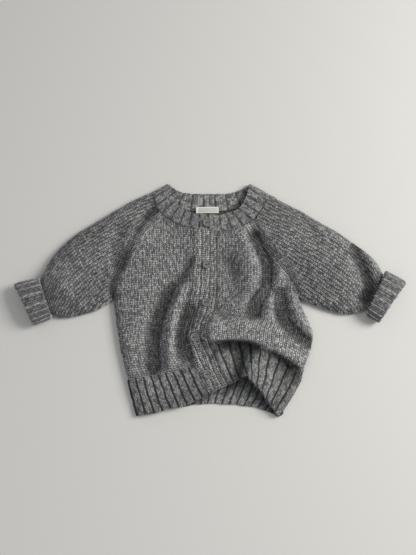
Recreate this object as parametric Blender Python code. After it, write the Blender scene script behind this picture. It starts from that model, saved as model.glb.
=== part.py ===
"""Baby cardigan, knitted, with raglan sleeves, laid flat with its cuffs turned back.

+Y runs from the hem to the neck, +X to the wearer's left, +Z up from the surface it lies on.
The cloth is two layers: the back and the undersides of the sleeves lie on the surface, and the
fronts and the upper sides of the sleeves lie over them. Each panel is a wall of knitted cloth,
lofted on a plan of its own outline, and its height comes from one field of soft folds.
"""

import bmesh
import bpy
import numpy as np
from mathutils import Matrix, Vector

MM = 0.001

# Cloth
WALL = 2.6          # stocking stitch, mm
RIB_WALL = 2.9      # ribbing
SEAM_GAP = 0.4      # between two pieces at a seam
SIDE_HEIGHT = 4.0   # height of the side seams, where the two layers meet
TOP_ROUND = 13.0    # how far in from a side the upper layer is still rounding over
UNDER_ROUND = 6.0   # the same for the lower layer
BODY_HEIGHT = 10.5  # how high the upper layer lies where it has no fold
LOWEST_FOLD = 6.6   # and how low a fold can take it, lying on the lower layer
BAND_LIFT = 3.4     # the buttonhole band lies this much above the button band
LIFT_REACH = 15.0   # how far the right front takes to come up to its band

# Buttons
BUTTON_DIAMETER = 11.5
BUTTON_THICKNESS = 2.6
BUTTON_HOLE_SPACING = 3.2
BUTTON_HOLE_DIAMETER = 1.5
BUTTON_SIDES = 20

# Neck label
LABEL_SIZE = (32.0, 10.0, 0.8)
LABEL_PLACE = (-1.0, 97.5)

# Plan of the garment in mm, each line from the cuff or hem towards the neck.
RIGHT_SIDE = [(-89, -185), (-96, -163), (-102, -140), (-112, -104), (-118, -74), (-122, -50), (-124, -34)]
LEFT_SIDE = [(88, -186), (103, -165), (118, -139), (129, -110), (136, -84), (131, -62), (124, -46), (121, -33)]
RIGHT_UNDERARM = [(-207, -52), (-199, -56), (-186, -58), (-166, -54), (-145, -47), (-124, -34)]
LEFT_UNDERARM = [(208, -47), (195, -51), (180, -53), (159, -48), (138, -40), (121, -33)]
# The shoulder and raglan lines end on the neckband's seam.
RIGHT_SHOULDER = [(-224, -8), (-219, 4), (-210, 25), (-198, 41), (-179, 60), (-150, 80), (-122, 99), (-98, 114)]
LEFT_SHOULDER = [(233, 3), (225, 20), (213, 34), (193, 50), (172, 66), (151, 79), (129, 94), (104, 108)]
RIGHT_RAGLAN = [(-124, -34), (-127, -14), (-119, 10), (-107, 36), (-92, 66)]
LEFT_RAGLAN = [(121, -33), (111, -8), (97, 12), (79, 39)]
RIGHT_BACK_RAGLAN = [(-124, -34), (-90, 45)]
LEFT_BACK_RAGLAN = [(121, -33), (90, 45)]
BAND_SEAM = [(1, -158), (-17, -123), (-27, -104), (-32, -88), (-31, -70), (-26, -49), (-21, -18), (-19, 20), (-19, 67)]
BAND_EDGE = [(24, -147), (14, -127), (6, -106), (0, -88), (-2, -72), (7, -50), (11, -18), (11, 20), (11, 63)]
RIGHT_RIB_TOP = [(-102, -140), (-73, -135), (-45, -131), (-17, -123)]
RIGHT_HEM = [(-89, -185), (-72, -183), (-54, -178), (-35, -174), (-14, -166), (1, -158)]
LEFT_RIB_TOP = [(6, -106), (16, -93), (37, -91), (56, -94), (74, -103), (98, -117), (118, -139)]
LEFT_HEM = [(24, -147), (33, -143), (43, -136), (49, -137), (58, -147), (67, -157), (77, -172), (88, -186)]
BACK_RIB_TOP = [(-102, -140), (-40, -132), (8, -130), (60, -132), (118, -139)]
BACK_HEM = [(-89, -185), (-54, -177), (-16, -171), (3, -169.5), (40, -171.5), (66, -176), (88, -186)]

# Neckband, from its buttonhole end round the neck to its button end. The seam is where it is sewn
# on and the edge is its free edge. Turn is how far its outer face has turned from facing up (0) to
# facing down (180), height is that of its outer face above the field or, where it faces down, above
# the surface, and lift is for the overlap at the front.
NECKBAND = [
    # seam x, seam y, edge x, edge y, turn, height, lift
    (11, 63, 12, 87, 0, 0.0, 3.1),
    (-4, 64, -4, 87, 0, 0.0, 3.1),
    (-19, 67, -18, 88, 0, 0.0, 3.1),
    (-32, 71, -27, 91, 0, 0.0, 1.8),
    (-46, 77, -36, 97, 0, 0.5, 0.6),
    (-58, 86, -43, 104, 0, 1.0, 0.0),
    (-67, 95, -48, 112, 0, 1.0, 0.0),
    (-72, 105, -51, 121, 10, 1.0, 0.0),
    (-75, 116, -53, 130, 35, 0.0, 0.0),
    (-77, 124, -54, 136, 90, 4.5, 0.0),
    (-73, 122, -51, 133, 150, 1.0, 0.0),
    (-64, 115, -45, 129, 180, 0.0, 0.0),
    (-50, 106, -38, 125, 180, 0.0, 0.0),
    (-34, 99, -29, 123, 180, 0.0, 0.0),
    (-17, 96, -15, 122, 180, 0.0, 0.0),
    (0, 95, 0, 122, 180, 0.0, 0.0),
    (17, 96, 15, 122, 180, 0.0, 0.0),
    (34, 99, 30, 123, 180, 0.0, 0.0),
    (50, 106, 40, 126, 180, 0.0, 0.0),
    (65, 116, 49, 130, 180, 0.0, 0.0),
    (74, 123, 56, 134, 150, 1.0, 0.0),
    (78, 125, 58, 137, 90, 4.5, 0.0),
    (77, 116, 56, 130, 35, 0.0, 0.0),
    (75, 105, 54, 120, 10, 1.0, 0.0),
    (71, 94, 50, 109, 0, 1.0, 0.0),
    (64, 85, 45, 100, 0, 1.0, 0.0),
    (54, 77, 38, 94, 0, 0.5, 0.0),
    (41, 70, 29, 91, 0, 0.0, 0.0),
    (26, 65, 20, 88, 0, 0.0, 0.0),
    (11, 63, 12, 86, 0, 0.0, 0.0),
    (-4, 64, -4, 86, 0, 0.0, 0.0),
    (-17, 67, -17, 86, 0, 0.0, 0.0),
]

# Rows of that table where the raglans and the shoulder folds meet the neckband.
ROW = {"right band": 2, "right raglan": 6, "right shoulder": 9, "right back": 12,
       "left back": 18, "left shoulder": 21, "left raglan": 26, "left band": 29}

# Folds and swells of the upper layer: height of the crest (or depth, if negative), how far it
# reaches to the left and to the right of its path, and the path.
FOLDS = [
    ("right sleeve swell", 7.0, 34, 30, [(-108, 60), (-150, 32), (-188, 0)]),
    ("right sleeve end gather", 2.5, 9, 9, [(-214, -4), (-186, -22)]),
    ("right sleeve elbow crease", -3.0, 9, 7, [(-117, 62), (-122, 38), (-120, 18)]),
    ("left sleeve swell", 7.0, 30, 34, [(112, 55), (155, 32), (192, 2)]),
    ("left sleeve cuff crease", -6.5, 8, 9, [(199, 36), (205, 14), (212, -14), (207, -30)]),
    ("left sleeve shoulder roll", 2.5, 8, 8, [(150, 62), (190, 38), (216, 16)]),
    ("right raglan", -4.5, 7, 9, [(-124, -28), (-126, -12), (-107, 36), (-92, 68), (-76, 95)]),
    ("left raglan", -2.5, 9, 7, [(119, -26), (97, 12), (80, 39), (62, 74)]),
    ("right chest swell", 2.5, 30, 30, [(-80, 0), (-60, 30)]),
    ("right front valley", -3.5, 9, 9, [(-44, -24), (-62, -52), (-71, -84), (-74, -128)]),
    ("right front ridge", 5.5, 8, 11, [(-34, -22), (-50, -56), (-55, -90), (-57, -128)]),
    ("band hollow", -4.0, 9, 12, [(-34, -56), (-38, -82), (-32, -110)]),
    ("band edge ridge", 2.5, 9, 12, [(6, -60), (4, -84), (14, -116)]),
    ("left chest swell", 5.0, 17, 16, [(52, 52), (60, 22), (56, -8)]),
    ("left chest hollow", -2.0, 12, 12, [(28, 20), (36, 0), (42, -20)]),
    ("left armhole fold", -7.0, 7, 8, [(72, 48), (79, 20), (78, -4), (67, -30), (60, -60)]),
    ("left armhole ridge", 3.0, 9, 10, [(90, 6), (91, -18), (80, -44), (78, -66)]),
    ("left side fold", -6.5, 9, 9, [(97, -30), (98, -54), (107, -72), (124, -88)]),
    ("left side ridge", 3.0, 7, 7, [(112, -34), (119, -58), (128, -74)]),
    ("overhang", 13.0, 24, 6.5, [(16, -78), (37, -80), (56, -83), (76, -91), (100, -104), (116, -121)]),
    ("hem arch", 11.0, 22, 8, [(66, -106), (56, -122), (50, -138), (47, -146)]),
    ("hem arch shoulder", 4.0, 16, 14, [(88, -122), (72, -148)]),
    ("hem valley", -2.5, 7, 6, [(40, -104), (41, -134)]),
    ("hem settles", -2.5, 22, 30, [(-100, -180), (-50, -172), (0, -160)]),
]

# How the lofts are divided
PANEL_COLUMNS = 12
LEFT_COLUMNS = 14
SLEEVE_COLUMNS = 14
RAGLAN_STEPS = [0, 0.05, 0.12, 0.22, 0.36, 0.52, 0.68, 0.84, 1]
SLEEVE_STEPS = [0, 0.04, 0.08, 0.13, 0.19, 0.26, 0.34, 0.42, 0.5, 0.58, 0.66, 0.74, 0.82, 0.88, 0.94, 1]
OVERHANG_BAND_STEPS = [0, 0.02, 0.045, 0.075, 0.11, 0.16, 0.22, 0.29, 0.36, 0.43, 0.5, 0.57, 0.64, 0.71, 0.78, 0.85,
                       0.91, 0.96, 1]
OVERHANG_SIDE_STEPS = [0, 0.03, 0.07, 0.12, 0.18, 0.26, 0.36, 0.5, 0.66, 0.83, 1]
CUFF_BLEND = 0.2     # how much of the sleeve's length gathers into the cuff
NECK_MIDDLE = (1.0, 105.0)

# Turned-back cuffs: the four corners in plan, seen from above, and the height of the roll.
CUFFS = {
    "right_cuff": {"shoulder_in": (-226, -4), "shoulder_out": (-256, -13), "under_in": (-205, -60),
                   "under_out": (-222, -69), "height": 21.0},
    "left_cuff": {"shoulder_in": (237, 6), "shoulder_out": (262, -11), "under_in": (206, -54),
                  "under_out": (222, -66), "height": 21.0},
}
CUFF_LAYER = 2.8     # one layer of the cuff's rib
CUFF_TUCK = 0.6      # space between its two layers
CUFF_CENTRE = 0.46   # its middle, as a share of its height, so that its underside is flat

KNIT_COLOUR = (0.19, 0.195, 0.19, 1.0)


# ---------------------------------------------------------------- lines in plan


def smooth_line(points, pieces=8):
    """A Catmull-Rom curve through the points, as a dense polyline."""
    p = np.array(points, float)
    ends = np.vstack([2 * p[0] - p[1], p, 2 * p[-1] - p[-2]])
    t = np.linspace(0, 1, pieces, endpoint=False)[:, None]
    out = []
    for a, b, c, d in zip(ends[:-3], ends[1:-2], ends[2:-1], ends[3:]):
        out.append(0.5 * (2 * b + (c - a) * t + (2 * a - 5 * b + 4 * c - d) * t**2 + (3 * b - a - 3 * c + d) * t**3))
    return np.vstack(out + [p[-1:]])


def along(line, shares):
    """The points of a polyline at these shares of its length."""
    steps = np.concatenate([[0], np.cumsum(np.linalg.norm(np.diff(line, axis=0), axis=1))])
    at = np.asarray(shares) * steps[-1]
    return np.stack([np.interp(at, steps, line[:, k]) for k in range(line.shape[1])], axis=-1)


def shifted(line, distance):
    """The polyline moved to the left of its own direction."""
    run = np.gradient(line, axis=0)
    run /= np.linalg.norm(run, axis=1)[:, None]
    return line + distance * np.stack([-run[:, 1], run[:, 0]], axis=1)


def nearest(points, line):
    """For each point, its distance from the line, the way to it from there, and its side (-1 right to 1 left)."""
    best = np.full(len(points), np.inf)
    way = np.zeros((len(points), 2))
    side = np.zeros(len(points))
    for a, b in zip(line[:-1], line[1:]):
        run = b - a
        share = np.clip((points - a) @ run / (run @ run), 0, 1)
        off = points - a - share[:, None] * run
        distance = np.linalg.norm(off, axis=1)
        closer = distance < best
        best[closer] = distance[closer]
        way[closer] = off[closer]
        cross = (run[0] * off[:, 1] - run[1] * off[:, 0]) / (np.linalg.norm(run) * np.maximum(distance, 1e-6))
        side[closer] = cross[closer]
    return best, way, side


# ---------------------------------------------------------------- the field of folds



def to_neckband(points, row):
    """The line through the points and on to a row of the neckband's seam."""
    return smooth_line([*points, NECKBAND[ROW[row]][:2]])


right_side, left_side = smooth_line(RIGHT_SIDE), smooth_line(LEFT_SIDE)
right_underarm, left_underarm = smooth_line(RIGHT_UNDERARM), smooth_line(LEFT_UNDERARM)
right_shoulder = to_neckband(RIGHT_SHOULDER, "right shoulder")
left_shoulder = to_neckband(LEFT_SHOULDER, "left shoulder")
right_raglan, left_raglan = to_neckband(RIGHT_RAGLAN, "right raglan"), to_neckband(LEFT_RAGLAN, "left raglan")
right_back_raglan = to_neckband(RIGHT_BACK_RAGLAN, "right back")
left_back_raglan = to_neckband(LEFT_BACK_RAGLAN, "left back")
# Each silhouette is walked with the cloth on its left.
SILHOUETTE = [
    np.vstack([left_side[:-1], left_underarm[::-1]]),
    left_shoulder,
    right_shoulder[::-1],
    np.vstack([right_underarm[:-1], right_side[::-1]]),
]
fold_paths = [(height, left, right, smooth_line(path, 4)) for _, height, left, right, path in FOLDS]
band_seam, band_edge = smooth_line(BAND_SEAM), smooth_line(BAND_EDGE)


def from_silhouette(points):
    """Distance from the nearest side, and the way inwards from it."""
    best = np.full(len(points), np.inf)
    inward = np.zeros((len(points), 2))
    for line in SILHOUETTE:
        distance, way, _ = nearest(points, line)
        middle = (line[:-1] + line[1:]) / 2
        run = np.diff(line, axis=0)
        normal = np.stack([-run[:, 1], run[:, 0]], axis=1) / np.linalg.norm(run, axis=1)[:, None]
        at = np.argmin(np.linalg.norm(points[:, None] - middle[None], axis=2), axis=1)
        close = distance < 1.0
        way = np.where(close[:, None], normal[at], way / np.maximum(distance, 1e-6)[:, None])
        nearer = distance < best
        best[nearer] = distance[nearer]
        inward[nearer] = way[nearer]
    return best, inward


def fold_height(points):
    """Height of the upper layer's outer face, away from the sides."""
    height = np.full(len(points), BODY_HEIGHT)
    for crest, left, right, path in fold_paths:
        distance, _, side = nearest(points, path)
        reach = left * (1 + side) / 2 + right * (1 - side) / 2
        height += crest * np.exp(-((distance / reach) ** 2))
    return np.maximum(height, LOWEST_FOLD)


def band_lift(points):
    """How much the right front rises to its band: the whole lift at the seam and none further off."""
    distance, _, _ = nearest(points, band_seam)
    return BAND_LIFT * np.exp(-((distance / LIFT_REACH) ** 2))


def upper_layer(points, wall, lift=0.0):
    """Outer and inner face of the upper layer over these points of the plan."""
    distance, inward = from_silhouette(points)
    share = np.clip(distance / TOP_ROUND, 0, 1)
    rise = np.sqrt(1 - (1 - share) ** 2)
    low = SIDE_HEIGHT + SEAM_GAP / 2
    z = low + (fold_height(points) + lift - low) * rise
    outer = np.column_stack([points, z])
    inner = outer + wall * np.column_stack([inward * (1 - share)[:, None], -rise])
    return outer, inner


def lower_layer(points, wall, edge=SIDE_HEIGHT - SEAM_GAP / 2):
    """Outer face, which lies on the surface, and inner face of the lower layer."""
    distance, inward = from_silhouette(points)
    share = np.clip(distance / UNDER_ROUND, 0, 1)
    rise = np.sqrt(1 - (1 - share) ** 2)
    outer = np.column_stack([points, edge * (1 - rise)])
    inner = outer + wall * np.column_stack([inward * (1 - share)[:, None], rise])
    return outer, inner


# ---------------------------------------------------------------- building


def length_shares(line):
    steps = np.concatenate([[0], np.cumsum(np.linalg.norm(np.diff(line, axis=0), axis=1))])
    return steps / steps[-1]


def panel_plan(bottom, top, start, end):
    """A Coons patch between four lines of points, the first two as long as each other and so the last two."""
    start = np.vstack([bottom[0], start[1:-1], top[0]])
    end = np.vstack([bottom[-1], end[1:-1], top[-1]])
    s = ((length_shares(bottom) + length_shares(top)) / 2)[None, :, None]
    t = ((length_shares(start) + length_shares(end)) / 2)[:, None, None]
    low, high, left, right = bottom[None], top[None], start[:, None], end[:, None]
    corners = ((1 - s) * (1 - t) * low[:, :1] + s * (1 - t) * low[:, -1:]
               + (1 - s) * t * high[:, :1] + s * t * high[:, -1:])
    return (1 - t) * low + t * high + (1 - s) * left + s * right - corners


def even(count):
    return np.linspace(0, 1, count + 1)


def rounded(count, at_start=0.0, at_end=0.0):
    """This many steps from 0 to 1, three of them over a rounded stretch at either end."""
    turn = 1 - np.cos(np.radians([0, 30, 58, 90]))
    start = list(at_start * turn[:-1]) if at_start else []
    end = list(1 - at_end * turn[:-1])[::-1] if at_end else []
    middle = count + 1 - len(start) - len(end)
    return np.array(start + list(np.linspace(at_start, 1 - at_end, middle)) + end)


def add_mesh(name, verts, faces, colour=KNIT_COLOUR, roughness=0.95):
    mesh = bpy.data.meshes.new(name)
    mesh.from_pydata([tuple(v) for v in np.asarray(verts, float) * MM], [], faces)
    bm = bmesh.new()
    bm.from_mesh(mesh)
    bmesh.ops.recalc_face_normals(bm, faces=bm.faces)
    bm.to_mesh(mesh)
    bm.free()
    mesh.shade_smooth()
    mesh.set_sharp_from_angle(angle=np.radians(50))
    return add_object(name, mesh, colour, roughness)


def add_object(name, mesh, colour, roughness):
    material = bpy.data.materials.new(name)
    material.use_nodes = True
    shader = material.node_tree.nodes["Principled BSDF"]
    shader.inputs["Base Color"].default_value = colour
    shader.inputs["Roughness"].default_value = roughness
    shader.inputs["Metallic"].default_value = 0.0
    mesh.materials.append(material)
    obj = bpy.data.objects.new(name, mesh)
    cardigan.objects.link(obj)
    return obj


def loft_wall(name, outer, inner):
    """A wall between two faces, each a grid of rows. All four sides are closed with a rim."""
    rows, columns, _ = outer.shape
    verts = np.vstack([outer.reshape(-1, 3), inner.reshape(-1, 3)])
    faces = []

    def at(r, c, side):
        return side * rows * columns + r * columns + c

    for r in range(rows - 1):
        for c in range(columns - 1):
            faces.append((at(r, c, 0), at(r, c + 1, 0), at(r + 1, c + 1, 0), at(r + 1, c, 0)))
            faces.append((at(r, c, 1), at(r + 1, c, 1), at(r + 1, c + 1, 1), at(r, c + 1, 1)))
    for r in range(rows - 1):
        for c in (0, columns - 1):
            faces.append((at(r, c, 0), at(r + 1, c, 0), at(r + 1, c, 1), at(r, c, 1)))
    for c in range(columns - 1):
        for r in (0, rows - 1):
            faces.append((at(r, c, 0), at(r, c + 1, 0), at(r, c + 1, 1), at(r, c, 1)))
    return add_mesh(name, verts, faces)


def loft_ring(name, rings):
    """A body through closed sections, each a loop of points. The last section joins the first."""
    count, around, _ = rings.shape
    faces = []
    for k in range(count):
        for c in range(around):
            low, high = k * around, (k + 1) % count * around
            faces.append((low + c, low + (c + 1) % around, high + (c + 1) % around, high + c))
    return add_mesh(name, rings.reshape(-1, 3), faces)


def over_plan(plan, layer, *values, **named):
    """Both faces of a layer over a grid of plan points."""
    outer, inner = layer(plan.reshape(-1, 2), *values, **named)
    return outer.reshape(*plan.shape[:2], 3), inner.reshape(*plan.shape[:2], 3)


def cut_line(line, start, end, steps):
    """The stretch of a line between two shares of its length, at these steps of the stretch."""
    return along(line, start + (end - start) * np.asarray(steps))


def share_at(line, point):
    """How far along a line the place nearest to a point is."""
    fine = along(line, np.linspace(0, 1, 4000))
    return float(np.argmin(np.linalg.norm(fine - np.array(point), axis=1)) / 3999)


def neck_line(first, last, parts):
    """The neckband's seam between two of its rows, in this many parts that keep each row."""
    rows = np.array([row[:2] for row in NECKBAND[min(first, last):max(first, last) + 1]], float)
    lengths = np.linalg.norm(np.diff(rows, axis=0), axis=1)
    counts = np.ones(len(lengths), int)
    while counts.sum() < parts:
        counts[np.argmax(lengths / counts)] += 1
    out = [a + (b - a) * step for a, b, count in zip(rows[:-1], rows[1:], counts) for step in even(count)[:-1]]
    out = np.array([*out, rows[-1]])
    return out if first < last else out[::-1]


def chain(*lines):
    """Lines end to end. Where two meet, the second one's point is kept."""
    return np.vstack([line[:-1] for line in lines[:-1]] + [lines[-1]])


def make_fronts():
    """Both fronts with their hem ribs. Rows run from side to band on the right, and from band to side on the left."""
    half = SEAM_GAP / 2
    rib_share = share_at(right_side, RIGHT_RIB_TOP[0])
    seam_share = share_at(band_seam, RIGHT_RIB_TOP[-1])
    rib = along(smooth_line(RIGHT_RIB_TOP), rounded(PANEL_COLUMNS, 0.13))
    side = chain(cut_line(right_side, rib_share, 1, even(12)), shifted(along(right_raglan, RAGLAN_STEPS), -half))
    seam = shifted(cut_line(band_seam, seam_share, 1, even(20)), half)
    neck = shifted(neck_line(ROW["right raglan"], ROW["right band"], PANEL_COLUMNS), -half)
    loft_wall("right_front_panel", *over_plan(panel_plan(shifted(rib, half), neck, side, seam), raised_layer, WALL))
    hem = along(smooth_line(RIGHT_HEM), rounded(PANEL_COLUMNS, 0.14))
    side = cut_line(right_side, 0, rib_share, even(4))
    seam = shifted(cut_line(band_seam, 0, seam_share, even(4)), half)
    plan = panel_plan(hem, shifted(rib, -half), side, seam)
    loft_wall("right_front_hem_rib", *over_plan(plan, raised_layer, RIB_WALL))

    rib_share = share_at(left_side, LEFT_RIB_TOP[-1])
    edge_share = share_at(band_edge, LEFT_RIB_TOP[0])
    rib = along(smooth_line(LEFT_RIB_TOP), rounded(LEFT_COLUMNS, 0, 0.1))
    side = chain(cut_line(left_side, rib_share, 1, OVERHANG_SIDE_STEPS),
                 shifted(along(left_raglan, RAGLAN_STEPS), half))
    edge = shifted(cut_line(band_edge, edge_share, 1, OVERHANG_BAND_STEPS), -half)
    neck = shifted(neck_line(ROW["left band"], ROW["left raglan"], LEFT_COLUMNS), half)
    loft_wall("left_front_panel", *over_plan(panel_plan(shifted(rib, half), neck, edge, side), upper_layer, WALL))
    hem = along(smooth_line(LEFT_HEM), rounded(LEFT_COLUMNS, 0, 0.1))
    side = cut_line(left_side, 0, rib_share, even(6))
    edge = shifted(cut_line(band_edge, 0, edge_share, even(6)), -half)
    plan = panel_plan(hem, shifted(rib, -half), edge, side)
    loft_wall("left_front_hem_rib", *over_plan(plan, upper_layer, RIB_WALL))


def raised_layer(points, wall):
    """The upper layer where it rises to the buttonhole band."""
    return upper_layer(points, wall, band_lift(points))


def make_bands():
    """The buttonhole band on the right front, over the button band on the left front."""
    inset = SEAM_GAP / 2
    seam_share, edge_share = share_at(band_seam, RIGHT_RIB_TOP[-1]), share_at(band_edge, LEFT_RIB_TOP[0])
    seam = shifted(chain(cut_line(band_seam, 0, seam_share, even(4)), cut_line(band_seam, seam_share, 1, even(20))),
                   -inset)
    edge = shifted(chain(cut_line(band_edge, 0, edge_share, even(6)),
                         cut_line(band_edge, edge_share, 1, OVERHANG_BAND_STEPS)), inset)
    top = along(np.array([seam[-1], edge[-1]]) - (0, 2 * SEAM_GAP), even(4))
    bottom = along(np.array([seam[0], edge[0]]), even(4))
    plan = panel_plan(bottom, top, seam, edge)
    loft_wall("buttonhole_band", *over_plan(plan, upper_layer, WALL, BAND_LIFT))
    loft_wall("button_band", *over_plan(plan, upper_layer, WALL))


def make_back():
    """The back and its hem rib, on the surface."""
    half = SEAM_GAP / 2
    right_share, left_share = share_at(right_side, BACK_RIB_TOP[0]), share_at(left_side, BACK_RIB_TOP[-1])
    right = chain(cut_line(right_side, right_share, 1, even(4)),
                  shifted(along(right_back_raglan, RAGLAN_STEPS), -half))
    left = chain(cut_line(left_side, left_share, 1, even(4)), shifted(along(left_back_raglan, RAGLAN_STEPS), half))
    neck = shifted(neck_line(ROW["right back"], ROW["left back"], 14), -half)
    rib = along(smooth_line(BACK_RIB_TOP), rounded(14, 0.03, 0.03))
    loft_wall("back_panel", *over_plan(panel_plan(shifted(rib, half), neck, right, left), lower_layer, WALL))
    hem = along(smooth_line(BACK_HEM), rounded(14, 0.03, 0.03))
    right, left = cut_line(right_side, 0, right_share, even(2)), cut_line(left_side, 0, left_share, even(2))
    loft_wall("back_hem_rib", *over_plan(panel_plan(hem, shifted(rib, -half), right, left), lower_layer, RIB_WALL))


def cuff_ring(cuff, out, inset, around):
    """One section of a cuff, a share out from the sleeve and an inset in from its outer face."""
    corner = {key: np.array(value, float) for key, value in cuff.items() if key != "height"}
    high = corner["shoulder_in"] + out * (corner["shoulder_out"] - corner["shoulder_in"])
    low = corner["under_in"] + out * (corner["under_out"] - corner["under_in"])
    centre, half = (high + low) / 2, (high - low) / 2
    width = np.linalg.norm(half)
    angle = np.pi - np.arange(around) * 2 * np.pi / around
    c, s = np.cos(angle), np.sin(angle)
    flat = centre + np.outer(np.sign(c) * np.abs(c) ** 0.8 * (1 - inset / width), half)
    middle, radius = CUFF_CENTRE * cuff["height"], (1 - CUFF_CENTRE) * cuff["height"]
    z = np.maximum(middle + (radius - inset) * np.sign(s) * np.abs(s) ** 0.85, max(inset, 0))
    return np.column_stack([flat, z])


def make_sleeve(name, cuff, out_sign, shoulder, underarm, top_end, under_end):
    """A sleeve as a tube: its rings run from the underarm over the top and back underneath."""
    half = SEAM_GAP / 2 * out_sign
    armhole, back_armhole = shifted(top_end, -half), shifted(under_end, -half)
    armhole[0] = back_armhole[0] = underarm[-1] + (half, 0)
    armhole[-1] = back_armhole[-1] = shoulder[-1] + (half, 0)
    rows = len(SLEEVE_STEPS) - 1
    cuff_end = along(np.array([underarm[0], shoulder[0]]), rounded(SLEEVE_COLUMNS, 0.10, 0.10))
    underarm, shoulder = along(underarm, SLEEVE_STEPS), along(shoulder, SLEEVE_STEPS)
    top_plan = panel_plan(cuff_end, armhole, underarm, shoulder)
    under_plan = panel_plan(cuff_end, back_armhole, underarm, shoulder)
    top = over_plan(top_plan, upper_layer, WALL)
    under = over_plan(under_plan, lower_layer, WALL, edge=SIDE_HEIGHT + SEAM_GAP / 2)
    faces = []
    for upper, lower, inset in zip(top, under, (CUFF_LAYER + CUFF_TUCK, CUFF_LAYER + CUFF_TUCK + WALL)):
        rings = np.concatenate([upper, lower[:, -2:0:-1]], axis=1)
        end = cuff_ring(cuff, 0.0, inset, rings.shape[1])
        blend = np.clip(1 - even(rows) / CUFF_BLEND, 0, 1)[:, None, None]
        faces.append(rings * (1 - blend) + end[None] * blend)
    loft_ring(name, np.concatenate([faces[0], faces[1][::-1]]))


def make_cuff(name, cuff, around):
    """A cuff of two layers, turned back over itself: one closed section, carried round the wrist."""
    reach = np.linalg.norm(np.subtract(cuff["shoulder_out"], cuff["shoulder_in"]))
    layer, tuck = CUFF_LAYER, CUFF_TUCK
    both = 2 * layer + tuck
    section = [  # out from the sleeve in mm, inset from the outer face in mm
        (SEAM_GAP, 0), (reach * 0.5, -0.5), (reach - 3.0, 0), (reach - 0.8, both * 0.2), (reach, both * 0.5),
        (reach - 0.8, both * 0.8), (reach - 3.0, both), (reach * 0.5, both), (SEAM_GAP, both),
        (SEAM_GAP, layer + tuck), (reach - 3.4, layer + tuck), (reach - 3.4, layer), (SEAM_GAP, layer),
    ]
    loft_ring(name, np.array([cuff_ring(cuff, out / reach, inset, around) for out, inset in section]))


def make_neckband():
    """The ribbed band round the neck, with its two ends overlapping at the front."""
    rows = np.array(NECKBAND, float)
    seam, edge, turn, height, lift = rows[:, :2], rows[:, 2:4], np.radians(rows[:, 4]), rows[:, 5], rows[:, 6]
    middle = np.array(NECK_MIDDLE)
    across = (edge - seam) / np.linalg.norm(edge - seam, axis=1)[:, None]
    outer, inner = [], []
    for share in even(3):
        plan = seam + SEAM_GAP * across + share * (edge - seam - SEAM_GAP * across)
        # Facing up it lies at the height of the fronts, and facing down on the surface.
        upward = (1 + np.cos(turn)) / 2
        z = np.where(turn < 1.5, fold_height(plan) * upward + SIDE_HEIGHT * (1 - upward), 0.0) + height + lift
        outside = (plan - middle) / np.linalg.norm(plan - middle, axis=1)[:, None]
        outer.append(np.column_stack([plan, z]))
        inner.append(outer[-1] + RIB_WALL * np.column_stack([-outside * np.sin(turn)[:, None], -np.cos(turn)]))
    loft_wall("neckband", np.array(outer), np.array(inner))


def make_button(name, place, wall_top):
    """A round two-hole button with a raised rim, lying on the band."""
    radius = BUTTON_DIAMETER / 2
    profile = [(0.0, 0.0), (radius * 0.72, 0.0), (radius, 0.9), (radius, 1.9), (radius * 0.9, BUTTON_THICKNESS),
               (radius * 0.74, BUTTON_THICKNESS), (radius * 0.62, 1.7), (0.0, 1.5)]
    bm = bmesh.new()
    points = [bm.verts.new((r * MM, 0, z * MM)) for r, z in profile]
    edges = [bm.edges.new(pair) for pair in zip(points[:-1], points[1:])]
    bmesh.ops.spin(bm, geom=points + edges, cent=(0, 0, 0), axis=(0, 0, 1), angle=2 * np.pi, steps=BUTTON_SIDES)
    bmesh.ops.remove_doubles(bm, verts=bm.verts, dist=0.00002)
    bmesh.ops.recalc_face_normals(bm, faces=bm.faces)
    mesh = bpy.data.meshes.new(name)
    bm.to_mesh(mesh)
    bm.free()
    obj = add_object(name, mesh, (0.12, 0.115, 0.105, 1.0), 0.45)
    for side in (-1, 1):
        bpy.ops.mesh.primitive_cylinder_add(vertices=8, radius=BUTTON_HOLE_DIAMETER / 2 * MM, depth=0.01,
                                            location=(side * BUTTON_HOLE_SPACING / 2 * MM, 0, 0))
        cutter = bpy.context.object
        cutter.name = f"{name}_hole_{'left' if side < 0 else 'right'}"
        cutter.hide_render = True
        cutter.display_type = "WIRE"
        for collection in cutter.users_collection:
            collection.objects.unlink(cutter)
        cutters.objects.link(cutter)
        cutter.parent = obj
        hole = obj.modifiers.new(cutter.name, "BOOLEAN")
        hole.object = cutter
        hole.operation = "DIFFERENCE"
    slope = Vector(wall_top["slope"]).normalized()
    turn = Vector((0, 0, 1)).rotation_difference(slope).to_matrix().to_4x4()
    obj.matrix_world = Matrix.Translation(Vector((*place, wall_top["height"])) * MM) @ turn


def surface_at(place, reach):
    """The height and slope that a flat thing of this reach takes when it lies on the buttonhole band."""
    ring = [(reach * np.cos(a), reach * np.sin(a)) for a in np.linspace(0, 2 * np.pi, 12, endpoint=False)]
    points = np.array(place) + np.array([(0, 0), *ring, *(0.5 * np.array(ring))])
    z = upper_layer(points, WALL, BAND_LIFT)[0][:, 2]
    fit = np.linalg.lstsq(np.column_stack([points - place, np.ones(len(points))]), z, rcond=None)[0]
    plane = np.column_stack([points - place, np.ones(len(points))]) @ fit
    return {"height": fit[2] + (z - plane).max() + 0.35, "slope": (-fit[0], -fit[1], 1.0)}


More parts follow.
